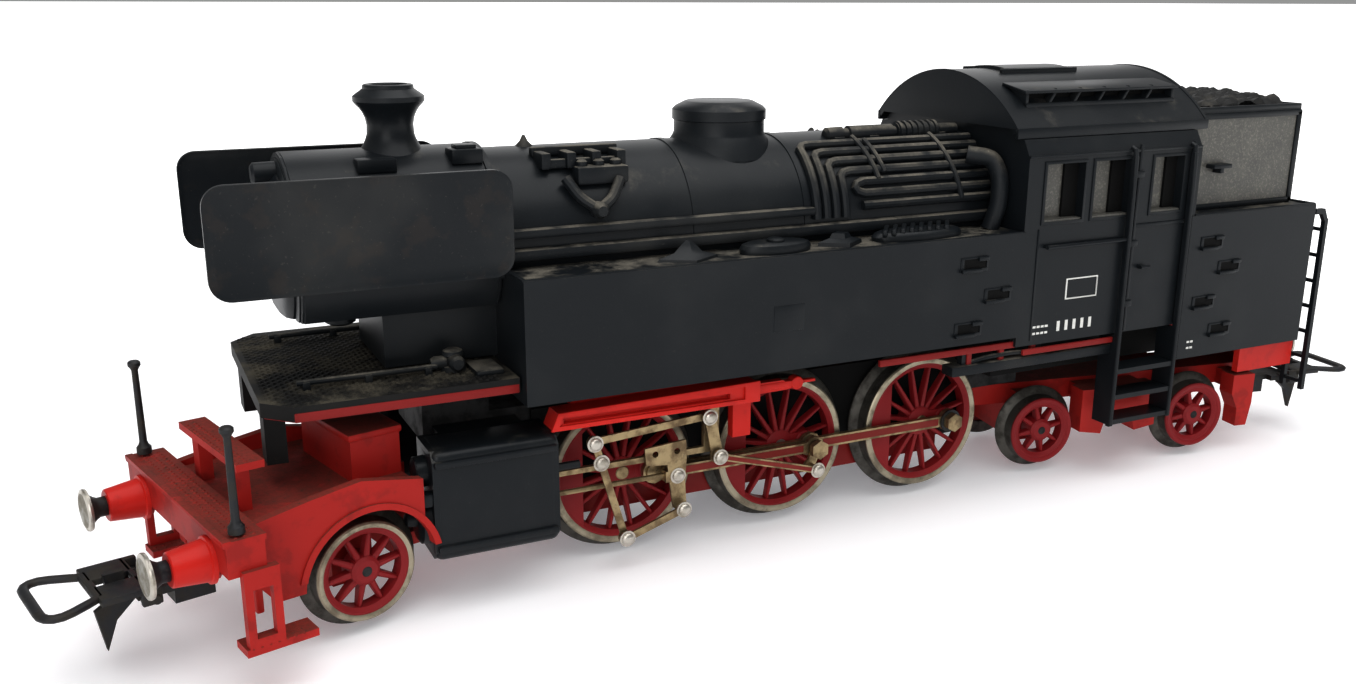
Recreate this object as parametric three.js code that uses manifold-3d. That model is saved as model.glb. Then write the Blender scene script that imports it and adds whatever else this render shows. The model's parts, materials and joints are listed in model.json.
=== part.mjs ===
// A 1:87 model of a 2-6-4 tank locomotive: moulded body, metal chassis with an electric motor,
// coupled driving wheels with valve gear, a swinging front truck and a rear bogie.
// Millimetres. +Z is up, the front faces -X, and Z = 0 is the lowest point of the wheel flanges.
// X counts from the middle driving axle while the pieces are made; the last lines centre the whole.
// Every moving piece lives in its own named group, whose origin is the pivot it turns on.
import * as THREE from "three";
import { mergeVertices } from "three/addons/utils/BufferGeometryUtils.js";
import Module from "manifold-3d";

const wasm = await Module();
wasm.setup();

// ---------------------------------------------------------------- driving dimensions
const GAP = 0.3; // between pieces that touch on the real model
const RUNNING = 0.18; // radial play of a pin in its eye
const FLANGE = 1.2; // flange height above the tread
const WHEEL_IN = 7.0; // inner faces of the wheels, from the centre line
const WHEEL_OUT = 10.0; // outer faces of the wheels
const LEFT = -1;
const RIGHT = 1;
const SIDES = { left: LEFT, right: RIGHT };

const DRIVER_D = 18.4;
const DRIVER_PITCH = 22.5; // spacing of the driving axles
const CRANK_R = 3.8;
const LEAD_D = 11.4;
const TRAIL_D = 9.9;
const AXLE_R = 0.9;
const DRIVER_Z = FLANGE + DRIVER_D / 2;
const LEAD_Z = FLANGE + LEAD_D / 2;
const TRAIL_Z = FLANGE + TRAIL_D / 2;

const TRUCK_PIVOT_X = -30;
const TRUCK_SWING = THREE.MathUtils.degToRad(14.1); // how far the front truck stands turned
const LEAD_X = -58.6;
const BEAM_X = -75;
const BUFFER_X = -81.4; // face of the front buffer heads
const BUFFER_Z = 13.5;
const BUFFER_Y = 10.2;
const BUFFER_HEAD_R = 2.35;
const BUFFER_SHANK_R = 1.1;
const BOGIE_PIVOT_X = 38.3;
const BOGIE_SWING = THREE.MathUtils.degToRad(-9.3);
const TRAIL_X = [45.2, 71.4];

const BODY_Y = 17.4; // half width over the side tanks
const WALL = 1.4;
const TANK_X = -36.9;
const TANK_TOP = 37.4;
const TANK_BOTTOM = 23.2;
const CAB_X = 31.7;
const CAB_Y = 17.2;
const CAB_REAR = 62.4;
const CAB_BOTTOM = 21.8;
const CAB_SHOULDER = 47;
const EAVES_Z = 50.5;
const EAVES_Y = 15.6;
const ROOF_TOP = 57.4;
const ROOF_T = 0.9;
const BUNKER_REAR = 87.2;
const REAR_BUFFER_X = BUNKER_REAR + 6.4;
const BUNKER_BOTTOM = 16.4;
const COAL_BOX_Y = 14;
const COAL_BOX_REAR = 85.4;
const COAL_BOX_TOP = 51.6;
const BOILER_R = 10.4;
const BOILER_Z = 39.4;
const SMOKEBOX_R = 11;
const SMOKEBOX_X = -58.9;
const SMOKEBOX_FLOOR = 33.2; // the smokebox is flat underneath
const CHIMNEY_X = -46.3;
const CHIMNEY_TOP = 56.9;
const DOME_X = -4.5;
const DOME_R = 5.9;
const DOME_TOP = 54.3;
const FOOTPLATE_X = -64.4;
const FOOTPLATE_Y = 16;
const FOOTPLATE_TOP = 26.3;
const FOOTPLATE_T = 1.6;
const DEFLECTOR_Y = 15.1;
const DEFLECTOR_X = [-68.3, -37.1];
const DEFLECTOR_Z = [37.7, 49.3];

const CHASSIS_Y = 6.2;
const CHASSIS_TOP = 19.6;
const CHASSIS_BOTTOM = 7.2;
const CYLINDER_X = [-47.6, -33];
const CYLINDER_Y = [9.6, 16.3];
const CYLINDER_Z = [6.2, 19];

// Layers of the rods, as distances from the centre line.
const COUPLING_LAYER = [10.5, 11.2];
const CONNECTING_LAYER = [11.6, 12.2];
const GUIDE_LAYER = [12.5, 13.1];
const RETURN_LAYER = [12.5, 12.9];
const PLATE_LAYER = [13.3, 13.65];
const LEVER_LAYER = [13.9, 14.2];
const OUTER_LAYER = [14.45, 14.8];
const RIVET = 0.3; // height of a rivet head
const PIN_R = 0.75; // crank pins
const SMALL_PIN_R = 0.4; // return crank pins

const MODULE = 0.5; // gear teeth
const TEETH = { axle: 24, idler: 20, pinion: 10 };
const ADDENDUM = 0.42;
const DEDENDUM = 0.62;
const MESH_PLAY = 0.16; // added to each centre distance
const GEAR_Y = [3, 5];
const ARMATURE_R = 6;

// ---------------------------------------------------------------- materials
const finish = (color, roughness, metalness) => new THREE.MeshStandardMaterial({ color, roughness, metalness });
const FINISH = {
  black: finish(0x1d2024, 0.5, 0),
  red: finish(0xc01512, 0.42, 0),
  wheelRed: finish(0x7d1418, 0.45, 0),
  brass: finish(0xa79468, 0.38, 0.9),
  steel: finish(0xb9b6ae, 0.3, 0.95),
  castMetal: finish(0x55575a, 0.55, 0.8),
  glass: finish(0x9a9a92, 0.7, 0),
  nylon: finish(0xd8d2c0, 0.5, 0),
  copper: finish(0x9b5a33, 0.4, 0.8),
};

// ---------------------------------------------------------------- solids
function manifoldOf(triVerts, vertProperties) {
  return new wasm.Manifold(new wasm.Mesh({ numProp: 3, vertProperties, triVerts }));
}

// A closed three.js geometry as a manifold solid, with its faces turned outwards.
function solid(geometry) {
  const bare = new THREE.BufferGeometry().setAttribute("position", geometry.getAttribute("position"));
  bare.setIndex(geometry.getIndex());
  const welded = mergeVertices(bare, 1e-4);
  const corners = Array.from(welded.index.array);
  const kept = [];
  for (let i = 0; i < corners.length; i += 3) {
    const [a, b, c] = corners.slice(i, i + 3);
    if (a !== b && b !== c && c !== a) kept.push(a, b, c);
  }
  const points = welded.attributes.position.array;
  const made = manifoldOf(new Uint32Array(kept), points);
  if (made.volume() > 0) return made;
  return manifoldOf(new Uint32Array(kept.reverse()), points);
}

function geometryOf(body) {
  const mesh = body.getMesh();
  const points = new Float32Array(mesh.numVert * 3);
  for (let i = 0; i < mesh.numVert; i++) {
    points.set(mesh.vertProperties.subarray(i * mesh.numProp, i * mesh.numProp + 3), i * 3);
  }
  const geometry = new THREE.BufferGeometry().setAttribute("position", new THREE.BufferAttribute(points, 3));
  geometry.setIndex(new THREE.BufferAttribute(mesh.triVerts, 1));
  geometry.computeVertexNormals();
  return geometry;
}

const join = (...solids) => solids.flat().reduce((all, one) => all.add(one));
const cut = (body, ...holes) => holes.flat().reduce((left, hole) => left.subtract(hole), body);
const ordered = (a, b) => (a < b ? [a, b] : [b, a]);

function box(x0, x1, y0, y1, z0, z1) {
  const at = [(x0 + x1) / 2, (y0 + y1) / 2, (z0 + z1) / 2];
  const size = [x1 - x0, y1 - y0, z1 - z0].map(Math.abs);
  return solid(new THREE.BoxGeometry(...size).translate(...at));
}

// A box on one side of the centre line, y given as distances from it.
const sideBox = (side, x0, x1, [y0, y1], z0, z1) => box(x0, x1, side * y0, side * y1, z0, z1);

// Round bars along each axis; a vertex lies straight below the axis of a bar along Y.
function rodY(x, z, y0, y1, r, n = 12) {
  const bar = new THREE.CylinderGeometry(r, r, Math.abs(y1 - y0), n);
  return solid(bar.translate(x, (y0 + y1) / 2, z));
}
function rodX(y, z, x0, x1, r, n = 12, r0 = r) {
  const bar = new THREE.CylinderGeometry(r, r0, Math.abs(x1 - x0), n).rotateZ(-Math.PI / 2);
  return solid(bar.translate((x0 + x1) / 2, y, z));
}
function rodZ(x, y, z0, z1, r, n = 12, r0 = r) {
  const bar = new THREE.CylinderGeometry(r, r0, Math.abs(z1 - z0), n).rotateX(Math.PI / 2);
  return solid(bar.translate(x, y, (z0 + z1) / 2));
}

// A turned piece: profile points are [radius, distance along the axis].
function turned(profile, n) {
  return new THREE.LatheGeometry(profile.map(([r, t]) => new THREE.Vector2(r, t)), n);
}
const turnedZ = (profile, x, y, n) => solid(turned(profile, n).rotateX(Math.PI / 2).translate(x, y, 0));

const outline = (points) => (points instanceof THREE.Shape
  ? points
  : new THREE.Shape(points.map(([a, b]) => new THREE.Vector2(a, b))));
const extruded = (points, depth) => new THREE.ExtrudeGeometry(outline(points), {
  depth,
  bevelEnabled: false,
  curveSegments: 6,
});

// Plates cut from an outline: in X and Z with a thickness in Y, and so on for the other two.
function plateY(points, ya, yb) {
  const [y0, y1] = ordered(ya, yb);
  return solid(extruded(points, y1 - y0).rotateX(Math.PI / 2).translate(0, y1, 0));
}
function plateX(points, x0, x1) {
  const cycle = new THREE.Matrix4().set(0, 0, 1, 0, 1, 0, 0, 0, 0, 1, 0, 0, 0, 0, 0, 1);
  return solid(extruded(points, x1 - x0).applyMatrix4(cycle).translate(x0, 0, 0));
}
function plateZ(points, z0, z1) {
  return solid(extruded(points, z1 - z0).translate(0, 0, z0));
}

const sidePlate = (side, points, [y0, y1]) => plateY(points, side * y0, side * y1);
const sideRod = (side, [x, z], [y0, y1], r, n) => rodY(x, z, side * y0, side * y1, r, n);

// A rectangle with rounded corners.
function rounded(x0, x1, y0, y1, r) {
  const shape = new THREE.Shape();
  shape.moveTo(x0 + r, y0).lineTo(x1 - r, y0).quadraticCurveTo(x1, y0, x1, y0 + r);
  shape.lineTo(x1, y1 - r).quadraticCurveTo(x1, y1, x1 - r, y1);
  shape.lineTo(x0 + r, y1).quadraticCurveTo(x0, y1, x0, y1 - r);
  shape.lineTo(x0, y0 + r).quadraticCurveTo(x0, y0, x0 + r, y0);
  return shape;
}

// A flat bar from one point to the next in the X-Z plane.
function bar([xa, za], [xb, zb], width) {
  const length = Math.hypot(xb - xa, zb - za);
  const [nx, nz] = [(-(zb - za) / length) * (width / 2), ((xb - xa) / length) * (width / 2)];
  return [[xa + nx, za + nz], [xb + nx, zb + nz], [xb - nx, zb - nz], [xa - nx, za - nz]];
}

// A rod with a round eye at each point; holes lists the bore of each eye, 0 for none.
function rodWithEyes(side, points, layer, width, eyeR, holes) {
  const pieces = points.map((at) => sideRod(side, at, layer, eyeR, 10));
  points.slice(1).forEach((at, i) => pieces.push(sidePlate(side, bar(points[i], at, width), layer)));
  const through = [layer[0] - 1, layer[1] + 1];
  const bores = holes.map((r, i) => (r ? sideRod(side, points[i], through, r, 10) : null)).filter(Boolean);
  return cut(join(pieces), bores);
}

// Where two links meet: radius ra about a and radius rb about b, the answer with the lower Z.
function meet([xa, za], ra, [xb, zb], rb) {
  const d = Math.hypot(xb - xa, zb - za);
  const along = (ra * ra - rb * rb + d * d) / (2 * d);
  const off = Math.sqrt(ra * ra - along * along);
  const [ux, uz] = [(xb - xa) / d, (zb - za) / d];
  const options = [1, -1].map((k) => [xa + ux * along - k * uz * off, za + uz * along + k * ux * off]);
  return options[0][1] < options[1][1] ? options[0] : options[1];
}
const distance = ([xa, za], [xb, zb]) => Math.hypot(xb - xa, zb - za);
const turnAbout = ([x, z], angle) => [
  x * Math.cos(angle) - z * Math.sin(angle),
  x * Math.sin(angle) + z * Math.cos(angle),
];

// ---------------------------------------------------------------- scene graph
const locomotive = new THREE.Group();
locomotive.name = "engine";
locomotive.userData.home = new THREE.Vector3();

// A moving group with its origin at the pivot (x, y, z).
function pivot(parent, name, x, y, z) {
  const group = new THREE.Group();
  group.name = name;
  group.userData.home = new THREE.Vector3(x, y, z);
  group.position.copy(group.userData.home).sub(parent.userData.home);
  parent.add(group);
  return group;
}

function piece(group, name, body, material) {
  const { x, y, z } = group.userData.home;
  const mesh = new THREE.Mesh(geometryOf(body).translate(-x, -y, -z), material);
  mesh.name = name;
  group.add(mesh);
}

// ---------------------------------------------------------------- body
const arcPoints = (cy, cz, r, from, to, n) => Array.from({ length: n + 1 }, (_, i) => {
  const a = from + ((to - from) * i) / n;
  return [cy + r * Math.cos(a), cz + r * Math.sin(a)];
});

const ROOF_R = ((ROOF_TOP - EAVES_Z) ** 2 + EAVES_Y ** 2) / (2 * (ROOF_TOP - EAVES_Z));
const ROOF_Z = ROOF_TOP - ROOF_R;
const ROOF_HALF = Math.asin(EAVES_Y / ROOF_R);

function roofArch(r, n = 14) {
  return arcPoints(0, ROOF_Z, r, Math.PI / 2 - ROOF_HALF, Math.PI / 2 + ROOF_HALF, n);
}

const WINDOWS = [[34.6, 41.3], [42.9, 49.6], [53.5, 59.2]];
const WINDOW_Z = [38.4, 46.2];

const WALL_TOP = EAVES_Z - ROOF_T - GAP; // where the cab walls stop under the roof
const ROOF_X = [CAB_X - 1, CAB_REAR + 2.2];
function bodyShell() {
  const wallTopY = EAVES_Y + 0.3;
  const tanks = box(TANK_X, CAB_X + 0.2, -BODY_Y, BODY_Y, TANK_BOTTOM, TANK_TOP);
  const boiler = rodX(0, BOILER_Z, TANK_X - 2, CAB_X + 1, BOILER_R, 28);
  const smokebox = rodX(0, BOILER_Z, SMOKEBOX_X, TANK_X - GAP, SMOKEBOX_R, 28);
  const door = rodX(0, BOILER_Z, SMOKEBOX_X - 1.4, SMOKEBOX_X + 1, SMOKEBOX_R - 2.4, 20, SMOKEBOX_R - 4.6);
  const drum = cut(join(boiler, smokebox, door), box(SMOKEBOX_X - 5, TANK_X + 0.5, -20, 20, 0, SMOKEBOX_FLOOR));
  const saddle = box(-50, TANK_X + 1, -7, 7, FOOTPLATE_TOP + GAP, BOILER_Z - 3);
  const cab = plateX(
    [[-CAB_Y, CAB_BOTTOM], [CAB_Y, CAB_BOTTOM], [CAB_Y, CAB_SHOULDER], [wallTopY, WALL_TOP],
      [-wallTopY, WALL_TOP], [-CAB_Y, CAB_SHOULDER]],
    CAB_X, CAB_REAR,
  );
  const gable = [...roofArch(ROOF_R - ROOF_T - GAP, 12), [-EAVES_Y + 1.2, EAVES_Z - 2], [EAVES_Y - 1.2, EAVES_Z - 2]];
  const gables = [plateX(gable, CAB_X, CAB_X + 2 * WALL), plateX(gable, CAB_REAR - 2 * WALL, CAB_REAR)];
  const behindRoof = ROOF_X[1] + GAP;
  const bunkerFront = CAB_REAR - WALL / 2;
  const bunker = box(bunkerFront, BUNKER_REAR, -BODY_Y, BODY_Y, BUNKER_BOTTOM, TANK_TOP);
  const coalBox = plateY(
    [[bunkerFront, TANK_TOP - 1], [COAL_BOX_REAR, TANK_TOP - 1], [COAL_BOX_REAR, COAL_BOX_TOP],
      [behindRoof, COAL_BOX_TOP], [behindRoof, WALL_TOP - 1], [bunkerFront, WALL_TOP - 1]],
    -COAL_BOX_Y, COAL_BOX_Y,
  );
  const coal = plateX(
    [[-12, COAL_BOX_TOP - 1], [12, COAL_BOX_TOP - 1], [10, COAL_BOX_TOP + 0.4], [4, COAL_BOX_TOP + 0.9],
      [-4, COAL_BOX_TOP + 0.9], [-10, COAL_BOX_TOP + 0.4]],
    behindRoof + 1, COAL_BOX_REAR - 1,
  );
  const chimney = turnedZ(
    [[0, 48], [3.4, 48], [3.1, 50.6], [2.35, 51.8], [2.35, 53.6], [2.9, 54.8], [3.9, 55.7], [3.9, 56.1],
      [2.9, CHIMNEY_TOP], [0, CHIMNEY_TOP]],
    CHIMNEY_X, 0, 18,
  );
  const dome = turnedZ(
    [[0, 46], [7.4, 46], [DOME_R + 0.3, 49.6], [DOME_R - 0.2, 50.4], [DOME_R - 0.2, 52.2], [DOME_R, 52.4],
      [DOME_R, 53.2], [DOME_R - 1, 54], [0, DOME_TOP]],
    DOME_X, 0, 20,
  );
  const shell = join(
    tanks, drum, saddle, cab, gables, bunker, coalBox, coal, chimney, dome,
  );
  const inside = BODY_Y - WALL;
  const motorRoom = box(TANK_X + WALL, CAB_X + 5, -inside, inside, 0, TANK_TOP - WALL);
  const barrel = rodX(0, BOILER_Z, TANK_X + 2 * WALL, CAB_X + 5, BOILER_R - WALL, 16);
  const cabRoom = plateX(
    [[-CAB_Y + WALL, 0], [CAB_Y - WALL, 0], [CAB_Y - WALL, CAB_SHOULDER - 0.4], [wallTopY - WALL, WALL_TOP - 0.2],
      [wallTopY - WALL, ROOF_TOP], [WALL - wallTopY, ROOF_TOP], [WALL - wallTopY, WALL_TOP - 0.2],
      [-CAB_Y + WALL, CAB_SHOULDER - 0.4]],
    CAB_X + WALL, CAB_REAR - WALL,
  );
  const bunkerRoom = box(CAB_REAR - 5, BUNKER_REAR - WALL, -inside, inside, 0, TANK_TOP - 4);
  const windows = WINDOWS.map(([x0, x1]) => box(x0, x1, -30, 30, ...WINDOW_Z));
  const gableWindows = [LEFT, RIGHT].map((s) => box(CAB_REAR - 4, CAB_REAR, s * 14.6, s * 15.6, 40, 46));
  return cut(shell, motorRoom, barrel, cabRoom, bunkerRoom, windows, gableWindows);
}
piece(locomotive, "body_shell", bodyShell(), FINISH.black);

const VENT_X = [35, 59.6];
function cabRoof() {
  const outer = roofArch(ROOF_R);
  const inner = roofArch(ROOF_R - ROOF_T).reverse();
  const sheet = plateX([...outer, ...inner], ...ROOF_X);
  const hatch = plateX(
    [...arcPoints(0, ROOF_Z, ROOF_R + 0.6, 1.36, 1.78, 3), ...arcPoints(0, ROOF_Z, ROOF_R - 0.4, 1.78, 1.36, 3)],
    38, 49.4,
  );
  const ventHoods = [LEFT, RIGHT].map((s) => cut(
    box(VENT_X[0], VENT_X[1], s * 9.2, s * 12.6, 51.5, 54.7),
    plateX(arcPoints(0, ROOF_Z, ROOF_R - 0.4, 0, Math.PI, 24), 30, 70),
    Array.from({ length: 6 }, (_, i) => {
      const x = VENT_X[0] + 0.6 + (i * (VENT_X[1] - VENT_X[0] - 0.6)) / 6;
      return box(x, x + 3.5, s * 11.2, s * 14, 52.9, 54.2);
    }),
  ));
  return join(sheet, hatch, ventHoods);
}
piece(locomotive, "cab_roof", cabRoof(), FINISH.black);

// One clear insert: a pane behind each side's windows, joined by a strip across the cab.
function cabGlazing() {
  const y = CAB_Y - WALL - GAP;
  const panes = [LEFT, RIGHT].map((s) => sideBox(s, 33.6, 60.4, [y - 0.5, y], 37, 46.3));
  return join(panes, box(33.6, 34.4, -y, y, 37, 38));
}
piece(locomotive, "cab_glazing", cabGlazing(), FINISH.glass);

for (const [name, side] of Object.entries(SIDES)) {
  const [x0, x1] = DEFLECTOR_X;
  const [z0, z1] = DEFLECTOR_Z;
  const plate = sidePlate(side, rounded(x0, x1, z0, z1, 1.8), [DEFLECTOR_Y - 0.5, DEFLECTOR_Y + 0.5]);
  const strutEnd = SMOKEBOX_R + GAP;
  const struts = [-57, -45].map((x) => sideBox(side, x, x + 1.2, [strutEnd, DEFLECTOR_Y], 40.6, 41.8));
  piece(locomotive, `smoke_deflector_${name}`, join(plate, struts), FINISH.black);
}

function frontFootplate() {
  const x0 = FOOTPLATE_X;
  const x1 = TANK_X - GAP;
  const y = FOOTPLATE_Y;
  const chamfer = 3;
  const plan = [[x0, -y + chamfer], [x0 + chamfer, -y], [x1, -y], [x1, y], [x0 + chamfer, y], [x0, y - chamfer]];
  const plate = plateZ(plan, FOOTPLATE_TOP - FOOTPLATE_T, FOOTPLATE_TOP);
  const brackets = [LEFT, RIGHT].map((s) => sideBox(s, x0 + 0.4, x0 + 2.6, [8, 11.5], 18.8, 25));
  return join(plate, brackets);
}
piece(locomotive, "front_footplate", frontFootplate(), FINISH.black);

const STEP_RAILS = [49.4, 60.4];
for (const [name, side] of Object.entries(SIDES)) {
  const y = [CAB_Y + GAP, CAB_Y + GAP + 0.6];
  const rails = STEP_RAILS.map((x) => sideBox(side, x - 0.35, x + 0.35, y, 8.2, CAB_SHOULDER - 0.5));
  const treads = [8.4, 12.1, 15.9].map((z) => sideBox(side, ...STEP_RAILS, [14.8, y[1]], z, z + 0.7));
  const cheeks = STEP_RAILS.map((x) => sideBox(side, x - 0.35, x + 0.35, [14.8, y[1]], 8.4, CAB_BOTTOM - GAP));
  const board = sideBox(side, 21.6, STEP_RAILS[0], [14.8, 17], 18.9, 20.1);
  const hangers = [23.5, 36].map((x) => sideBox(side, x, x + 0.9, [15.4, 16.4], 19.5, 21.5));
  piece(locomotive, `cab_steps_${name}`, join(rails, treads, cheeks, board, hangers), FINISH.black);
}

const LADDER_Y = [13.7, 17];
for (const [name, side] of Object.entries(SIDES)) {
  const x0 = BUNKER_REAR + GAP;
  const stiles = LADDER_Y.map((y) => join(
    box(x0 + 2.2, x0 + 2.9, side * y - 0.35, side * y + 0.35, 8, 35),
    plateY([[x0, 36.6], [x0, 35.8], [x0 + 1.4, 35.8], [x0 + 2.2, 34.6], [x0 + 2.9, 34.6], [x0 + 1.9, 36.6]],
      side * y - 0.35, side * y + 0.35),
  ));
  const rungs = [9, 13, 17, 21, 25, 29, 33].map((z) => sideBox(side, x0 + 2.3, x0 + 2.8, LADDER_Y, z, z + 0.5));
  piece(locomotive, `rear_ladder_${name}`, join(stiles, rungs), FINISH.black);
}

const REAR_BEAM_Y = 15.6;
function rearBeam() {
  const x = BUNKER_REAR;
  const beam = box(x - 1.2, x + 1.4, -REAR_BEAM_Y, REAR_BEAM_Y, 12, BUNKER_BOTTOM - GAP);
  const armY = [REAR_BEAM_Y - 1, REAR_BEAM_Y];
  const arms = [LEFT, RIGHT].map((s) => sideBox(s, x - 10.2, x, armY, 12, BUNKER_BOTTOM - GAP));
  const sleeves = [LEFT, RIGHT].map((s) => rodX(s * BUFFER_Y, BUFFER_Z, x + 1, x + 4, 1.7, 12, 2));
  const bores = [LEFT, RIGHT].map((s) => rodX(s * BUFFER_Y, BUFFER_Z, x, x + 6, BUFFER_SHANK_R + RUNNING));
  return cut(join(beam, arms, sleeves), bores);
}
piece(locomotive, "rear_beam", rearBeam(), FINISH.red);

// A sprung buffer: a domed head on a shank. out is -1 at the front end and 1 at the rear.
function buffer(parent, name, faceX, y, out) {
  const group = pivot(parent, name, faceX, y, BUFFER_Z);
  const head = join(
    rodX(y, BUFFER_Z, faceX - out * 0.7, faceX - out * 0.25, BUFFER_HEAD_R, 18),
    rodX(y, BUFFER_Z, ...ordered(faceX - out * 0.4, faceX), BUFFER_HEAD_R - 0.5, 18),
  );
  const shank = rodX(y, BUFFER_Z, ...ordered(faceX - out * 0.5, faceX - out * 4.7), BUFFER_SHANK_R);
  piece(group, name, join(head, shank), FINISH.steel);
}
for (const [name, side] of Object.entries(SIDES)) {
  buffer(locomotive, `rear_buffer_${name}`, REAR_BUFFER_X, side * BUFFER_Y, 1);
}

// ---------------------------------------------------------------- chassis and motor
const axleX = { front: -DRIVER_PITCH, drive: 0, rear: DRIVER_PITCH };
const IDLER_ANGLE = THREE.MathUtils.degToRad(63);
const idlerPitch = (MODULE * (TEETH.axle + TEETH.idler)) / 2 + MESH_PLAY;
const idler = [axleX.drive + idlerPitch * Math.cos(IDLER_ANGLE), DRIVER_Z + idlerPitch * Math.sin(IDLER_ANGLE)];
const IDLER_SHAFT_R = 0.7;
const ARMATURE_ANGLE = THREE.MathUtils.degToRad(40);
const pinionPitch = (MODULE * (TEETH.idler + TEETH.pinion)) / 2 + MESH_PLAY;
const armature = [
  idler[0] + pinionPitch * Math.cos(ARMATURE_ANGLE),
  idler[1] + pinionPitch * Math.sin(ARMATURE_ANGLE),
];

function chassisBlock() {
  const main = box(-33, 34, -CHASSIS_Y, CHASSIS_Y, CHASSIS_BOTTOM, CHASSIS_TOP);
  const bogieArm = box(30, 42, -CHASSIS_Y, CHASSIS_Y, 12.6, CHASSIS_TOP);
  const bogiePin = rodZ(BOGIE_PIVOT_X, 0, 8.4, 13, 1.3);
  const frontArm = join(
    box(-46, -30, -CHASSIS_Y, CHASSIS_Y, 16.6, CHASSIS_TOP),
    box(-46, -38, -CHASSIS_Y, CHASSIS_Y, 17, FOOTPLATE_TOP - FOOTPLATE_T - GAP),
  );
  const truckPin = rodZ(TRUCK_PIVOT_X, 0, 5, 9, 1.3);
  const slotR = AXLE_R + RUNNING;
  const slots = Object.values(axleX).map((x) => join(
    box(x - slotR, x + slotR, -9, 9, CHASSIS_BOTTOM - 1, DRIVER_Z),
    rodY(x, DRIVER_Z, -9, 9, slotR, 16),
  ));
  const gearRoom = [GEAR_Y[0] - GAP, GEAR_Y[1] + GAP];
  const gearPockets = [
    rodY(axleX.drive, DRIVER_Z, ...gearRoom, (MODULE * TEETH.axle) / 2 + 1, 20),
    rodY(...idler, ...gearRoom, (MODULE * TEETH.idler) / 2 + 1, 20),
  ];
  const idlerLug = box(idler[0] - 2.4, idler[0] + 2.4, GEAR_Y[1] + GAP, CHASSIS_Y, CHASSIS_TOP - 1, idler[1] + 1.8);
  const armaturePocket = rodY(...armature, -9, 9, ARMATURE_R + 0.8, 20);
  const frame = cut(join(main, bogieArm, bogiePin, frontArm, truckPin), slots, gearPockets, armaturePocket);
  return cut(join(frame, idlerLug), rodY(...idler, 0, 9, IDLER_SHAFT_R + RUNNING, 10));
}
piece(locomotive, "chassis_block", chassisBlock(), FINISH.castMetal);
const gearTip = (teeth) => (MODULE * teeth) / 2 + ADDENDUM;
const keeper = box(-24.4, 34, -4.6, 4.6, 5.7, CHASSIS_BOTTOM - GAP);
const keeperSlot = box(-gearTip(TEETH.axle), gearTip(TEETH.axle), GEAR_Y[0] - GAP, 9, 0, CHASSIS_BOTTOM);
piece(locomotive, "keeper_plate", cut(keeper, keeperSlot), FINISH.castMetal);

function motorHousing() {
  const yoke = box(armature[0] - 9, armature[0] + 9, -5.6, 2.2, CHASSIS_TOP + GAP, armature[1] + 9);
  const plateBottom = Math.max(DRIVER_Z + DRIVER_D / 2 + FLANGE, CHASSIS_TOP) + GAP;
  const endPlate = box(armature[0] - 8, armature[0] + 8, -7.2, -5.4, plateBottom, armature[1] + 4);
  const bore = rodY(...armature, -5.6, 9, ARMATURE_R + 0.5, 20);
  return cut(join(yoke, endPlate), bore, rodY(...armature, -9, 9, 0.8 + RUNNING, 12));
}
piece(locomotive, "motor_housing", motorHousing(), FINISH.castMetal);

// A spur gear about [x, z]: straight-flanked teeth with play, one tooth or gap at angle phase.
function gear([x, z], teeth, phase, bore) {
  const pitchR = (MODULE * teeth) / 2;
  const points = [];
  for (let i = 0; i < teeth; i++) {
    const at = phase + (2 * Math.PI * i) / teeth;
    const tooth = (2 * Math.PI) / teeth;
    const flanks = [[-DEDENDUM, -0.36], [ADDENDUM, -0.11], [ADDENDUM, 0.11], [-DEDENDUM, 0.36]];
    for (const [height, share] of flanks) {
      const r = pitchR + height;
      points.push([x + r * Math.cos(at + share * tooth), z + r * Math.sin(at + share * tooth)]);
    }
  }
  const wheel = plateY(points, ...GEAR_Y);
  return bore ? cut(wheel, rodY(x, z, -9, 9, bore, 12)) : wheel;
}
const angleTo = ([xa, za], [xb, zb]) => Math.atan2(zb - za, xb - xa);
const driveCentre = [axleX.drive, DRIVER_Z];
const driveToIdler = angleTo(driveCentre, idler);
const idlerToPinion = angleTo(idler, armature);
const idlerPhase = driveToIdler + Math.PI + Math.PI / TEETH.idler;
// The pinion shows a gap where the idler shows a tooth on the line between their centres.
const idlerOffset = (idlerToPinion - idlerPhase) / ((2 * Math.PI) / TEETH.idler);
const pinionShare = idlerOffset - Math.floor(idlerOffset);
const pinionPhase = idlerToPinion + Math.PI + ((0.5 + pinionShare) * 2 * Math.PI) / TEETH.pinion;

const idlerBody = pivot(locomotive, "idler_gear", idler[0], 4, idler[1]);
piece(idlerBody, "idler_gear", join(
  gear(idler, TEETH.idler, idlerPhase, 0), rodY(...idler, GEAR_Y[0], CHASSIS_Y, IDLER_SHAFT_R, 10),
), FINISH.nylon);

const armatureBody = pivot(locomotive, "armature", armature[0], 0, armature[1]);
piece(armatureBody, "armature", join(
  rodY(...armature, -5, 1.8, ARMATURE_R, 18),
  rodY(...armature, -8, 6.2, 0.8, 12),
  gear(armature, TEETH.pinion, pinionPhase, 0),
), FINISH.copper);

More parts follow.
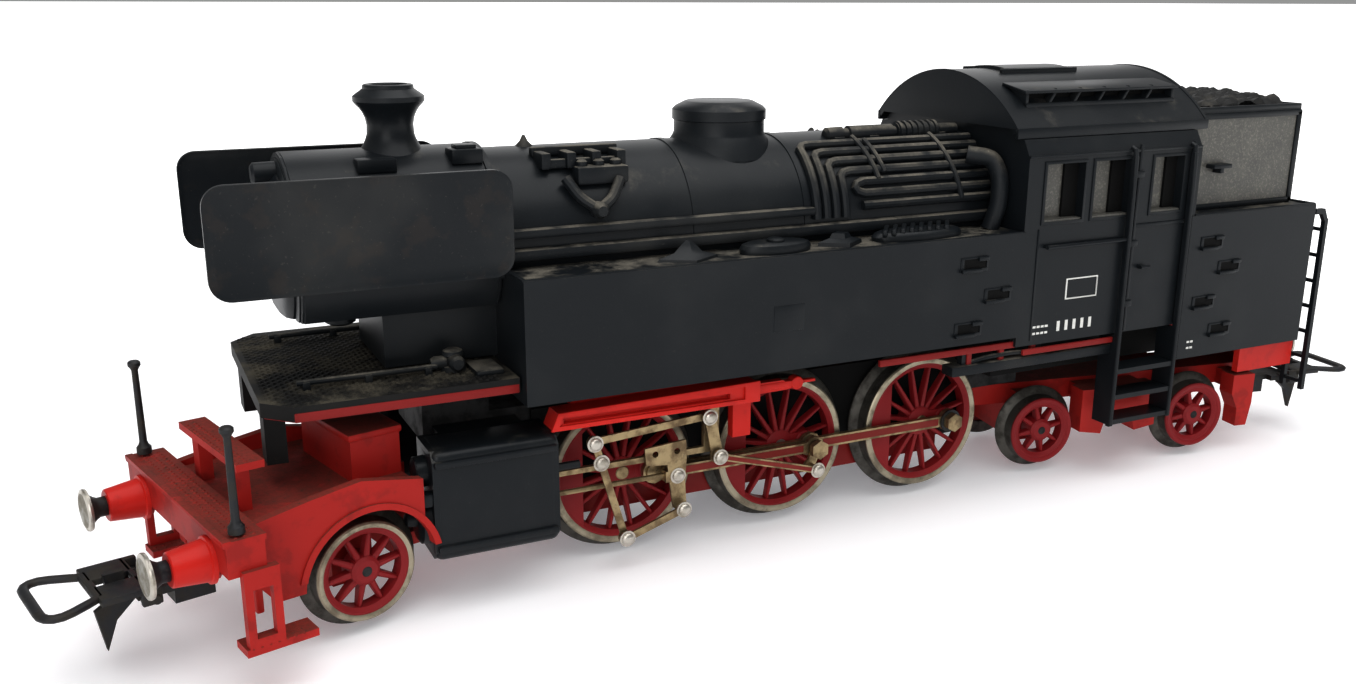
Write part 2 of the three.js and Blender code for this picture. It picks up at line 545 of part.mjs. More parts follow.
// ---------------------------------------------------------------- wheels
// One wheel: rim and flange in one turned section, tapered spokes, hub and, on a driver, its crank boss.
function wheel(x, z, treadR, side, { spokes, hubR, rim, segments, boss, spokeW, startAngle = 0 }) {
  const rimIn = treadR - rim;
  const flangeR = treadR + FLANGE;
  const profile = [
    [rimIn, WHEEL_IN], [flangeR, WHEEL_IN], [flangeR, WHEEL_IN + 0.45], [treadR + 0.1, WHEEL_IN + 1.1],
    [treadR, WHEEL_OUT], [rimIn, WHEEL_OUT], [rimIn, WHEEL_IN],
  ].map(([r, y]) => [r, side * y]);
  const tyre = solid(turned(profile, segments).translate(x, 0, z));
  const hub = sideRod(side, [x, z], [WHEEL_IN, WHEEL_OUT - 0.1], hubR, 10);
  const arms = Array.from({ length: spokes }, (_, i) => {
    const a = startAngle + (2 * Math.PI * i) / spokes;
    const end = [x + (rimIn + 0.3) * Math.cos(a), z + (rimIn + 0.3) * Math.sin(a)];
    return sidePlate(side, bar([x, z], end, spokeW), [8.1, 9.5]);
  });
  return join(tyre, hub, arms, boss || []);
}

// A driving wheel with its crank boss, counterweight and crank pin at angle crank.
function driver(x, side, crank, pinEnd) {
  const z = DRIVER_Z;
  const pinAt = [x + CRANK_R * Math.cos(crank), z + CRANK_R * Math.sin(crank)];
  const rimIn = DRIVER_D / 2 - 1.2;
  const chord = arcPoints(x, z, rimIn + 0.2, crank + Math.PI - 0.75, crank + Math.PI + 0.75, 5);
  const boss = [
    sidePlate(side, bar([x, z], pinAt, 2.6), [8.1, 9.9]),
    sideRod(side, pinAt, [8.1, 9.9], 1.3, 8),
    sideRod(side, pinAt, [9, pinEnd], PIN_R, 10),
    sidePlate(side, chord, [8.1, 9.8]),
  ];
  return wheel(x, z, DRIVER_D / 2, side, {
    spokes: 14, hubR: 1.9, rim: 1.2, segments: 28, boss, spokeW: 0.6, startAngle: Math.PI / 28,
  });
}

const CRANK = { left: 0, right: Math.PI / 2 };
const DRIVER_PIN_END = { front: COUPLING_LAYER[1] + 0.1, drive: GUIDE_LAYER[0] - 0.2, rear: COUPLING_LAYER[1] + 0.1 };
const HEX_NUT = 6; // sides

function washerHead(side, at, y0, r) {
  return sideRod(side, at, [y0, y0 + 0.3], r, 10);
}
function nut(side, at, y0, height) {
  return sideRod(side, at, [y0, y0 + height], 1.3, HEX_NUT);
}

const drivers = {};
for (const [axle, x] of Object.entries(axleX)) {
  const group = pivot(locomotive, `${axle}_wheelset`, x, 0, DRIVER_Z);
  drivers[axle] = group;
  const reach = WHEEL_OUT - 0.4;
  const shaft = rodY(x, DRIVER_Z, -reach, reach, AXLE_R, 12);
  const wheels = Object.entries(SIDES).map(([name, side]) => {
    const crank = CRANK[name];
    const pinAt = [x + CRANK_R * Math.cos(crank), DRIVER_Z + CRANK_R * Math.sin(crank)];
    const made = driver(x, side, crank, DRIVER_PIN_END[axle]);
    if (axle === "front") return join(made, washerHead(side, pinAt, COUPLING_LAYER[1] + 0.05, 1.15));
    if (axle === "drive") return made;
    const head = washerHead(side, pinAt, COUPLING_LAYER[1] + 0.05, 1.6);
    return join(made, head, nut(side, pinAt, COUPLING_LAYER[1] + 0.3, 1.1));
  });
  if (axle === "drive") {
    const seat = AXLE_R + GAP;
    const geared = join(rodY(x, DRIVER_Z, -WHEEL_OUT, WHEEL_OUT, AXLE_R, 12), gear([x, DRIVER_Z], TEETH.axle, driveToIdler, 0));
    piece(group, "drive_axle", geared, FINISH.steel);
    Object.keys(SIDES).forEach((name, i) => {
      piece(group, `drive_wheel_${name}`, cut(wheels[i], rodY(x, DRIVER_Z, -12, 12, seat, 12)), FINISH.wheelRed);
    });
  } else {
    piece(group, `${axle}_wheelset`, join(shaft, wheels), FINISH.wheelRed);
  }
}

function carryingWheelset(parent, name, x, z, treadR, spokes) {
  const group = pivot(parent, name, x, 0, z);
  const options = { spokes, hubR: 1.7, rim: 0.9, segments: 2 * spokes, spokeW: 0.7, startAngle: Math.PI / (2 * spokes) };
  const wheels = [LEFT, RIGHT].map((side) => wheel(x, z, treadR, side, options));
  piece(group, name, join(rodY(x, z, -WHEEL_OUT - 0.3, WHEEL_OUT + 0.3, AXLE_R - 0.1, 12), wheels), FINISH.wheelRed);
}

// ---------------------------------------------------------------- cylinders and valve gear
const ROD_Z = DRIVER_Z;
const MAIN_ROD = 20.5; // crank pin to crosshead pin
const PISTON_Y = 12.8;
const PISTON_R = 0.35;
const LEVER_TOP = [-27.7, 16.4];
const LEVER_BOTTOM = [-24, 3.9]; // with the crank at its rear dead centre
const LINK_TOP = [-12.6, 17.5];
const LINK_BOTTOM = [-11.5, 12.4];
const CROSSHEAD_ARM = [0.3, -4.1]; // from the crosshead pin to the union link's pin
const RETURN_PIN = [2.8, -2.2]; // from the driving axle, with the crank at its rear dead centre
const SPINDLE_Z = 13.9;

for (const [name, side] of Object.entries(SIDES)) {
  const crank = CRANK[name];
  const [pinX, pinZ] = turnAbout([CRANK_R, 0], crank);
  const crankPin = [pinX, DRIVER_Z + pinZ];
  const rodEnd = [pinX - Math.sqrt(MAIN_ROD ** 2 - pinZ ** 2), ROD_Z];
  const rearmost = CRANK_R - MAIN_ROD;

  // Cylinder block with its valve chest, front cover, glands and a bore for the piston rod.
  const [cx0, cx1] = CYLINDER_X;
  const [cy0, cy1] = CYLINDER_Y;
  const [cz0, cz1] = CYLINDER_Z;
  const block = plateX(
    [[cy0, cz0 + 1], [cy0 + 1.2, cz0], [cy1 - 1.2, cz0], [cy1, cz0 + 1.2], [cy1, cz1 - 1], [cy1 - 1, cz1], [cy0, cz1]]
      .map(([y, z]) => [side * y, z]),
    cx0, cx1,
  );
  const lug = sideBox(side, -45, -35, [CHASSIS_Y + GAP, cy0 + 0.5], 16.6, 18.8);
  const chest = rodX(side * (cy1 - 3.4), 16, cx0 - 1.3, cx1, 1.7);
  const gland = rodX(side * PISTON_Y, ROD_Z, cx1 - 1, cx1 + 0.7, 1.4);
  const spindle = rodX(side * (PLATE_LAYER[0] - 0.1), SPINDLE_Z, cx1 - 1, -29.4, 0.5, 10);
  const bore = rodX(side * PISTON_Y, ROD_Z, cx0 + 0.8, cx1 + 2, PISTON_R + RUNNING, 10);
  piece(locomotive, `cylinder_${name}`, cut(join(block, lug, chest, gland, spindle), bore), FINISH.black);

  // The red channel that carries the valve gear, with the pointed reversing lever behind it.
  const channel = cut(
    sidePlate(side, [[-33.4, 19.3], [-32.6, 21.2], [-6.7, 21.6], [-6.7, 19.3]], [12.4, 15.4]),
    sideBox(side, -32, -10.5, [14.6, 16], 19.9, 20.6),
  );
  const bracket = sideBox(side, -9.2, -6.7, [12.4, 13.7], 14.2, 20);
  const lever = sidePlate(side, [[-7, 19.5], [-7, 20.9], [-2.4, 20.9], [-1.6, 20.3], [0.8, 20.2], [-1.8, 19.6]], [13.2, 14.2]);
  const mount = sideBox(side, -30, -12, [CHASSIS_Y + 4.4, 12.6], 21, 22.4);
  piece(locomotive, `motion_support_${name}`, join(channel, bracket, lever, mount), FINISH.red);

  // Slide bar, hanger and radius rod, one stamping.
  const barZ = ROD_Z + 2.2;
  const slideBar = sidePlate(side, [[-33, barZ], [-32.4, barZ + 0.6], [-10.8, barZ + 0.8], [-10.8, barZ]], GUIDE_LAYER);
  const hanger = sideBox(side, -12.9, -10.8, GUIDE_LAYER, barZ, 18.9);
  const radiusRod = rodWithEyes(side, [LEVER_TOP, LINK_TOP], PLATE_LAYER, 0.9, 0.8, []);
  const stay = sideRod(side, LINK_TOP, [GUIDE_LAYER[0], PLATE_LAYER[1]], 0.8);
  piece(locomotive, `guide_plate_${name}`, join(slideBar, hanger, radiusRod, stay), FINISH.brass);

  // Coupling rod through all three crank pins.
  const pins = Object.values(axleX).map((x) => [x + pinX, DRIVER_Z + pinZ]);
  const coupling = pivot(drivers.drive, `coupling_rod_${name}`, crankPin[0], side * 10.85, crankPin[1]);
  const eye = PIN_R + RUNNING;
  piece(coupling, `coupling_rod_${name}`, rodWithEyes(side, pins, COUPLING_LAYER, 1.5, 1.6, [eye, eye, eye]), FINISH.brass);

  const connecting = pivot(drivers.drive, `connecting_rod_${name}`, crankPin[0], side * 11.9, crankPin[1]);
  const mainRod = rodWithEyes(side, [rodEnd, crankPin], CONNECTING_LAYER, 1.4, 1.4, [0, eye]);
  piece(connecting, `connecting_rod_${name}`, mainRod, FINISH.brass);

  // Return crank on the end of the main crank pin, with its nut and the eccentric rod's pin.
  const [rx, rz] = turnAbout(RETURN_PIN, crank);
  const returnPin = [rx, DRIVER_Z + rz];
  const returnCrank = join(
    rodWithEyes(side, [crankPin, returnPin], RETURN_LAYER, 1.3, 0.9, []),
    nut(side, crankPin, RETURN_LAYER[1] - 0.05, 0.85),
    sideRod(side, returnPin, [RETURN_LAYER[0], OUTER_LAYER[1] + 0.1], SMALL_PIN_R, 10),
    sideRod(side, returnPin, [OUTER_LAYER[1] + 0.05, OUTER_LAYER[1] + RIVET], 0.7, 8),
  );
  piece(drivers.drive, `return_crank_${name}`, returnCrank, FINISH.steel);

  // Expansion link, hung from its top pin; its foot follows the length of the eccentric rod.
  const eccentricLength = distance(LINK_BOTTOM, [RETURN_PIN[0], DRIVER_Z + RETURN_PIN[1]]);
  const linkFoot = meet(LINK_TOP, distance(LINK_TOP, LINK_BOTTOM), returnPin, eccentricLength);
  const link = pivot(locomotive, `expansion_link_${name}`, LINK_TOP[0], side * 14.05, LINK_TOP[1]);
  piece(link, `expansion_link_${name}`, join(
    rodWithEyes(side, [LINK_TOP, linkFoot], LEVER_LAYER, 1.5, 1, [0, 0]),
    sideRod(side, LINK_TOP, [LEVER_LAYER[0], LEVER_LAYER[1] + 0.2], 0.65, 8),
  ), FINISH.brass);

  const eccentric = pivot(drivers.drive, `eccentric_rod_${name}`, returnPin[0], side * 14.6, returnPin[1]);
  piece(eccentric, `eccentric_rod_${name}`, join(
    rodWithEyes(side, [linkFoot, returnPin], OUTER_LAYER, 0.9, 0.9, [0, SMALL_PIN_R + RUNNING]),
    sideRod(side, linkFoot, [OUTER_LAYER[0], OUTER_LAYER[1] + RIVET], 0.7, 8),
  ), FINISH.steel);

  // The crosshead runs straight: a small disc on the wheel turns twice as fast the other way about
  // half the crank's throw, and the crosshead hangs from that disc's rim.
  const half = [pinX / 2, DRIVER_Z + pinZ / 2];
  const disc = pivot(drivers.drive, `guide_disc_${name}`, half[0], side * 10.2, half[1]);
  piece(disc, `guide_disc_${name}`, sideRod(side, half, [WHEEL_OUT + 0.05, COUPLING_LAYER[0] - 0.12], 0.5, 12), FINISH.steel);
  const crosshead = pivot(disc, `crosshead_${name}`, pinX, side * 13.4, DRIVER_Z);
  const [ex, ez] = rodEnd;
  const arm = [ex + CROSSHEAD_ARM[0], ez + CROSSHEAD_ARM[1]];
  const plateOutline = [
    [ex - 4.2, ez + 1.9], [ex - 4.4, ez + 4.1], [ex + 1.1, ez + 4.5], [ex + 1.2, ez + 2.1], [ex + 1, ez - 1],
    [arm[0] + 0.9, arm[1]], [arm[0], arm[1] - 0.9], [arm[0] - 0.9, arm[1]], [ex - 1.1, ez - 0.8], [ex - 1.4, ez + 1.6],
  ];
  const eyes = [ex - 3, ex - 0.1].map((x) => sideRod(side, [x, ez + 3.2], [12, 15], 0.42, 8));
  const pistonFront = rearmost - 22;
  const travelled = ex - rearmost;
  piece(crosshead, `crosshead_${name}`, join(
    cut(sidePlate(side, plateOutline, PLATE_LAYER), eyes),
    sideBox(side, ex - 1.6, ex + 0.6, [GUIDE_LAYER[0], PLATE_LAYER[1]], ez - 0.7, ez + 0.7),
    rodX(side * PISTON_Y, ROD_Z, pistonFront + travelled, ex, PISTON_R, 8),
  ), FINISH.brass);

  // Combination lever, hung from the radius rod, and the union link between it and the crosshead.
  const unionLength = distance(LEVER_BOTTOM, [rearmost + CROSSHEAD_ARM[0], ROD_Z + CROSSHEAD_ARM[1]]);
  const leverFoot = meet(LEVER_TOP, distance(LEVER_TOP, LEVER_BOTTOM), arm, unionLength);
  const spindlePin = LEVER_TOP.map((v, i) => v + (leverFoot[i] - v) * 0.2);
  const hung = pivot(locomotive, `combination_lever_${name}`, LEVER_TOP[0], side * 14.05, LEVER_TOP[1]);
  piece(hung, `combination_lever_${name}`, join(
    rodWithEyes(side, [LEVER_TOP, spindlePin, leverFoot], LEVER_LAYER, 0.9, 0.85, []),
    [LEVER_TOP, spindlePin].map((at) => sideRod(side, at, [LEVER_LAYER[0], LEVER_LAYER[1] + RIVET], 0.65, 8)),
  ), FINISH.brass);
  const union = pivot(crosshead, `union_link_${name}`, arm[0], side * 14.6, arm[1]);
  piece(union, `union_link_${name}`, join(
    rodWithEyes(side, [leverFoot, arm], OUTER_LAYER, 0.9, 0.85, []),
    [leverFoot, arm].map((at) => sideRod(side, at, [OUTER_LAYER[0], OUTER_LAYER[1] + RIVET], 0.65, 8)),
  ), FINISH.brass);
}

// ---------------------------------------------------------------- front truck
const truck = pivot(locomotive, "front_truck", TRUCK_PIVOT_X, 0, 6);
truck.rotation.z = TRUCK_SWING;
const BEAM_Y = 15.2;
const BEAM_Z = [13.1, 16.9];
const DECK_Z = [14.7, 15.9];
const BENCH_Z = [21, 21.8];
const ARCH_R = 7.6;

function frontFrame() {
  const beam = box(BEAM_X, BEAM_X + 1.4, -BEAM_Y, BEAM_Y, ...BEAM_Z);
  const tread = box(BEAM_X - 0.2, BEAM_X + 4, -BEAM_Y, BEAM_Y, BEAM_Z[1] - 0.6, BEAM_Z[1]);
  const cheeks = [LEFT, RIGHT].map((s) => sideBox(s, BEAM_X, BEAM_X + 3.8, [BEAM_Y - 0.8, BEAM_Y], 13.1, BEAM_Z[1]));
  const deck = box(BEAM_X + 1, -52.2, -11.4, 11.4, ...DECK_Z);
  const benchX = [-71, -68.1];
  const bench = box(...benchX, -8.5, 8.5, ...BENCH_Z);
  const legs = [LEFT, RIGHT].map((s) => sideBox(s, -70.4, -69, [4.6, 6.4], DECK_Z[0], BENCH_Z[1] - 0.3));
  const raised = box(-58, -52.2, -6.5, 6.5, DECK_Z[0], 21.2);
  const sides = [LEFT, RIGHT].map((s) => cut(
    sidePlate(s, [[-69.2, 7.4], [-71.2, 10], [-71.2, 16.4], [-65, 17.4], [-59.3, 18.1], [-52.2, 16.6], [-52.2, 10],
      [-58, 8], [-66, 7.4]], [10.5, 11.6]),
    sideRod(s, [LEAD_X, LEAD_Z], [8, 14], ARCH_R, 24),
  ));
  const steps = [LEFT, RIGHT].map((s) => join(
    cut(sideBox(s, -73.8, -70.2, [14.8, 15.8], 4.9, 13.6), sideBox(s, -73, -71, [14, 17], 6.4, 11.6)),
    sideBox(s, -74.1, -66.8, [12.9, 15.8], 4.7, 5.5),
  ));
  const web = box(-52.8, -50.6, -4, 4, 5.2, DECK_Z[1]);
  const tongue = box(-52, TRUCK_PIVOT_X, -3.4, 3.4, 5.2, 6.8);
  const tongueEnd = rodZ(TRUCK_PIVOT_X, 0, 5.2, 6.8, 3.4, 16);
  const pivotHole = rodZ(TRUCK_PIVOT_X, 0, 4, 9, 1.3 + RUNNING, 14);
  const hornblocks = [LEFT, RIGHT].map((s) => cut(
    sideBox(s, LEAD_X - 2.4, LEAD_X + 2.4, [4.2, 6.2], 4.4, DECK_Z[1]),
    rodY(LEAD_X, LEAD_Z, -9, 9, AXLE_R - 0.1 + RUNNING, 14),
  ));
  const sleeves = [LEFT, RIGHT].map((s) => rodX(s * BUFFER_Y, BUFFER_Z, BEAM_X - 4, BEAM_X + 0.5, 2.1, 12, 1.7));
  const couplingLug = box(-73.4, -68.4, -2, 2, 8.9, DECK_Z[1]);
  const bores = [LEFT, RIGHT].map((s) => rodX(s * BUFFER_Y, BUFFER_Z, BEAM_X - 5, BEAM_X - 0.2, BUFFER_SHANK_R + RUNNING));
  return cut(
    join(beam, tread, cheeks, deck, bench, legs, raised, sides, steps, web, tongue, tongueEnd, hornblocks,
      sleeves, couplingLug),
    bores, pivotHole,
  );
}
piece(truck, "front_frame", frontFrame(), FINISH.red);
carryingWheelset(truck, "leading_wheelset", LEAD_X, LEAD_Z, LEAD_D / 2, 10);
for (const [name, side] of Object.entries(SIDES)) {
  buffer(truck, `front_buffer_${name}`, BUFFER_X, side * BUFFER_Y, -1);
  const z = BEAM_Z[1] + GAP;
  const post = turnedZ(
    [[0, z], [0.8, z], [0.8, z + 0.7], [0.45, z + 1.1], [0.36, 26.9], [0.65, 27.4], [0.65, 27.8], [0, 28]],
    -73.4, side * 14, 12,
  );
  piece(truck, `marker_post_${name}`, post, FINISH.black);
}

// ---------------------------------------------------------------- rear bogie
const bogie = pivot(locomotive, "rear_bogie", BOGIE_PIVOT_X, 0, 10);
bogie.rotation.z = BOGIE_SWING;
function bogieFrame() {
  const [xa, xb] = TRAIL_X;
  const spine = box(35.6, 84.5, -4.2, 4.2, 8.9, 11.9);
  const hornblocks = [xa, xb].map((x) => cut(
    box(x - 2.2, x + 2.2, -6.2, 6.2, 3.6, 11),
    rodY(x, TRAIL_Z, -9, 9, AXLE_R - 0.1 + RUNNING, 14),
  ));
  const sides = [LEFT, RIGHT].map((s) => sidePlate(
    s,
    [[51.8, 11.6], [51.8, 5.2], [55.4, 4.6], [56.2, 7.6], [60.4, 7.6], [61.2, 4.6], [64.6, 5.2], [64.6, 11.6]],
    [6.6, 9.6],
  ));
  const crossBars = box(53, 63.6, -7, 7, 9.4, 11.4);
  const tail = [LEFT, RIGHT].map((s) => sidePlate(
    s, [[78.4, 11.6], [78.4, 8.6], [79.6, 6.2], [79.6, 3.4], [81.6, 3.4], [82.2, 7], [82.2, 11.6]], [6.6, 9.4],
  ));
  const tailBar = box(79.4, 81.8, -7, 7, 8.9, 11.4);
  const lug = box(82, 87.8, -2, 2, 8.9, 11.9);
  const hole = rodZ(BOGIE_PIVOT_X, 0, 7, 14, 1.3 + RUNNING, 14);
  return cut(join(spine, hornblocks, sides, crossBars, tail, tailBar, lug), hole);
}
piece(bogie, "bogie_frame", bogieFrame(), FINISH.red);
TRAIL_X.forEach((x, i) => {
  carryingWheelset(bogie, `trailing_wheelset_${i === 0 ? "front" : "rear"}`, x, TRAIL_Z, TRAIL_D / 2, 8);
});

// ---------------------------------------------------------------- couplings
// A loop coupling. Its drawhook plate swings under the truck and its loop lifts; out is -1 at the front.
function coupler(parent, name, pivotX, z, out) {
  const at = (d) => pivotX + out * d;
  const span = (a, b) => ordered(at(a), at(b));
  const group = pivot(parent, `${name}_coupling`, pivotX, 0, z);
  const hook = [
    [9.2, z + 0.4], [10.2, z + 0.4], [10.2, z + 2.2], [12.2, z + 2.2], [12, z - 0.8], [13.4, z - 1.6], [12.6, z - 6.2],
    [11.4, z - 3], [9.2, z - 1],
  ].map(([d, h]) => [at(d), h]);
  const shank = join(
    box(...span(-1.4, 9), -1.9, 1.9, z - 0.4, z + 0.4),
    box(...span(6, 9.8), -2.9, 2.9, z - 0.4, z + 0.4),
    rodZ(pivotX, 0, z - 0.4, z + 0.4, 1.9),
    plateY(hook, -0.35, 0.35),
    [LEFT, RIGHT].map((s) => sideBox(s, ...span(7.6, 9.4), [2.2, 2.9], z - 0.9, z + 0.5)),
    box(...span(1.6, 5.8), -1.4, 1.4, z - 2.6, z),
  );
  piece(group, `${name}_coupling`, shank, FINISH.black);
  const loopAt = 8.4;
  const loop = pivot(group, `${name}_loop`, at(loopAt), 0, z);
  // A flat plate slotted for the hook, widening into the loop itself.
  const ring = [[13, 3.4], [16.8, 5.2], [18.4, 5.1], [19.3, 4.1]];
  const hole = [[13.6, 2.8], [16.7, 4.3], [18, 4.2], [18.5, 3.6]];
  const mirrored = (points) => [...points, ...points.map(([d, y]) => [d, -y]).reverse()].map(([d, y]) => [at(d), y]);
  const band = [z + 0.75, z + 1.55];
  const bow = cut(
    join(plateZ(mirrored(ring), ...band), box(...span(9, 13.2), -4.6, 4.6, ...band)),
    plateZ(mirrored(hole), band[0] - 1, band[1] + 1), box(...span(9.6, 13), -0.8, 0.8, band[0] - 1, band[1] + 1),
  );
  const ears = [LEFT, RIGHT].map((s) => join(
    sideBox(s, ...span(loopAt - 0.6, loopAt + 1.6), [3.8, 4.6], z - 0.5, band[1]),
    sideRod(s, [at(loopAt), z], [3.2, 4.2], 0.5, 8),
  ));
  piece(loop, `${name}_loop`, join(bow, ears), FINISH.black);
}
coupler(truck, "front", -70.4, 8.1, -1);
coupler(bogie, "rear", 85.4, 8.1, 1);

// ---------------------------------------------------------------- placing
locomotive.updateMatrixWorld(true);
const extent = new THREE.Box3().setFromObject(locomotive, true);
const middle = extent.getCenter(new THREE.Vector3());
locomotive.position.set(-middle.x, -middle.y, -extent.min.z);

export default locomotive;
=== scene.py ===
import json
import math

import bmesh
import bpy
from mathutils import Matrix, Vector


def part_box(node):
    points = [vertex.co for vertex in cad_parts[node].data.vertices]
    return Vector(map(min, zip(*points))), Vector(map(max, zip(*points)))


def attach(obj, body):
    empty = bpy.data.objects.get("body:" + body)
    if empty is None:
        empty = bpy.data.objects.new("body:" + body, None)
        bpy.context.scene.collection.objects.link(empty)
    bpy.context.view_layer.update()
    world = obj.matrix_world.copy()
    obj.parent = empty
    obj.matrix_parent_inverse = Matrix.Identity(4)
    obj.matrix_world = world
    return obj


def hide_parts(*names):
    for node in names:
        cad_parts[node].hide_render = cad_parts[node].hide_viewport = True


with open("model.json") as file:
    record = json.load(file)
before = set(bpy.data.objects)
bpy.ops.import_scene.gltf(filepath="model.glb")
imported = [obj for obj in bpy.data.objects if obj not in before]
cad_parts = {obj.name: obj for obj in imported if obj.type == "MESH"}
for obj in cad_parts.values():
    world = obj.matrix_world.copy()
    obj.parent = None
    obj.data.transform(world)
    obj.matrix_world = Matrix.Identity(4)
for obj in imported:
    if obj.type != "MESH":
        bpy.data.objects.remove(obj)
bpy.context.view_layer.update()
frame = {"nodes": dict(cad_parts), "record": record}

# Pieces are modelled in millimetres, with x counted from the middle driving axle, y from the centre
# line and z from the flange bottoms, and brought to metres and to their place when they are settled.
MM = 0.001
LEFT, RIGHT = -1, 1
TRUCK_PIVOT_X = -30.0
BOGIE_PIVOT_X = 38.3
SIDES = {"left": LEFT, "right": RIGHT}

wheel_low, wheel_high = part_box("drive_wheel_left")
axle_low, axle_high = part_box("drive_axle")
ORIGIN = Vector(((wheel_low[0] + wheel_high[0]) / 2, (axle_low[1] + axle_high[1]) / 2, 0.0))
JOINTS = {j["name"]: j for j in frame["record"]["behaviour"]["joints"]}


def turn_of(joint):
    """How far a truck stands turned, from the axis of one of its axles."""
    ax, ay, _ = JOINTS[joint]["axis"]
    return math.atan2(-ax, ay)


def placing(pivot_x=0.0, turn=0.0):
    pivot = Matrix.Translation((pivot_x, 0, 0))
    swung = pivot @ Matrix.Rotation(turn, 4, "Z") @ pivot.inverted()
    return Matrix.Translation(ORIGIN) @ Matrix.Scale(MM, 4) @ swung


PLACES = {
    "engine": placing(),
    "truck": placing(TRUCK_PIVOT_X, turn_of("leading_roll")),
    "bogie": placing(BOGIE_PIVOT_X, turn_of("trailing_front_roll")),
}

# ---------------------------------------------------------------- modelling helpers


def rest():
    if bpy.context.object and bpy.context.object.mode != "OBJECT":
        bpy.ops.object.mode_set(mode="OBJECT")
    bpy.ops.object.select_all(action="DESELECT")


def take(obj):
    rest()
    obj.select_set(True)
    bpy.context.view_layer.objects.active = obj
    return obj


def made():
    obj = bpy.context.object
    bpy.ops.object.transform_apply(location=True, rotation=True, scale=True)
    return obj


def block(x, y, z, bevel=0.0, segments=2):
    """A box between the given limits, with its edges rounded."""
    rest()
    lo = Vector((min(x), min(y), min(z)))
    hi = Vector((max(x), max(y), max(z)))
    bpy.ops.mesh.primitive_cube_add(size=1, location=(lo + hi) / 2)
    bpy.context.object.scale = hi - lo
    obj = made()
    return rounded(obj, bevel, segments) if bevel else obj


def modified(obj, kind, **settings):
    take(obj)
    modifier = obj.modifiers.new(kind.title(), kind)
    for key, value in settings.items():
        setattr(modifier, key, value)
    bpy.ops.object.modifier_apply(modifier=modifier.name)
    return obj


def rounded(obj, width, segments=2, angle=40):
    return modified(obj, "BEVEL", width=width, segments=segments, limit_method="ANGLE",
                    angle_limit=math.radians(angle))


def edit(obj, mode="FACE"):
    take(obj)
    bpy.ops.object.mode_set(mode="EDIT")
    bpy.ops.mesh.select_mode(type=mode)
    bpy.ops.mesh.select_all(action="SELECT")


def pick(obj, test, mode="FACE"):
    """In edit mode, selects the faces, edges or corners whose place passes the test."""
    bpy.ops.mesh.select_mode(type=mode)
    bpy.ops.mesh.select_all(action="DESELECT")
    mesh = bmesh.from_edit_mesh(obj.data)
    if mode == "FACE":
        for face in mesh.faces:
            face.select_set(test(face.calc_center_median(), face.normal))
    elif mode == "EDGE":
        for edge in mesh.edges:
            edge.select_set(test(edge.verts[0].co, edge.verts[1].co))
    else:
        for corner in mesh.verts:
            corner.select_set(test(corner.co))
    mesh.select_flush_mode()
    bmesh.update_edit_mesh(obj.data)


def done():
    bpy.ops.object.mode_set(mode="OBJECT")


def sliced(obj, point, normal, fill=True):
    """Cuts away what lies beyond the plane, on the side its normal points to."""
    edit(obj)
    bpy.ops.mesh.bisect(plane_co=point, plane_no=normal, use_fill=fill, clear_outer=True)
    done()
    return obj


def plate(points, y, bevel=0.0):
    """A flat plate with a convex outline in x and z, given anticlockwise or clockwise."""
    xs, zs = [p[0] for p in points], [p[1] for p in points]
    obj = block((min(xs), max(xs)), y, (min(zs), max(zs)))
    centre = Vector((sum(xs) / len(xs), 0, sum(zs) / len(zs)))
    for (xa, za), (xb, zb) in zip(points, points[1:] + points[:1]):
        normal = Vector((zb - za, 0, xa - xb)).normalized()
        start = Vector((xa, 0, za))
        if normal.dot(centre - start) > 0:
            normal = -normal
        if abs(abs(normal.x) - 1) < 1e-6 or abs(abs(normal.z) - 1) < 1e-6:
            continue
        sliced(obj, start, normal)
    return rounded(obj, bevel) if bevel else obj


TURN_TO = {
    "X": Matrix.Rotation(math.radians(90), 4, "Y"),
    "Y": Matrix.Rotation(math.radians(-90), 4, "X"),
    "Z": Matrix.Identity(4),
}


def turned(axis, centre, profile, sides=32):
    """A turned piece: profile gives (place along the axis, radius) from one end to the other."""
    rest()
    start, end = profile[0][0], profile[-1][0]
    bpy.ops.mesh.primitive_cylinder_add(vertices=sides, radius=1, depth=end - start,
                                        location=(0, 0, (start + end) / 2))
    obj = made()
    edit(obj, "VERT")
    for along, _ in profile[1:-1]:
        bpy.ops.mesh.select_all(action="SELECT")
        bpy.ops.mesh.bisect(plane_co=(0, 0, along), plane_no=(0, 0, 1))
    for along, radius in profile:
        pick(obj, lambda co: abs(co.z - along) < 1e-4, "VERT")
        bpy.ops.transform.resize(value=(radius, radius, 1), center_override=(0, 0, along))
    done()
    obj.data.transform(TURN_TO[axis])
    obj.data.transform(Matrix.Translation(centre))
    return obj


def rod(axis, centre, along, radius, sides=24, bevel=0.0):
    """A round bar; bevel rounds its two ends."""
    a, b = min(along), max(along)
    if bevel:
        profile = [(a, radius - bevel), (a + bevel, radius), (b - bevel, radius), (b, radius - bevel)]
    else:
        profile = [(a, radius), (b, radius)]
    return turned(axis, centre, profile, sides)


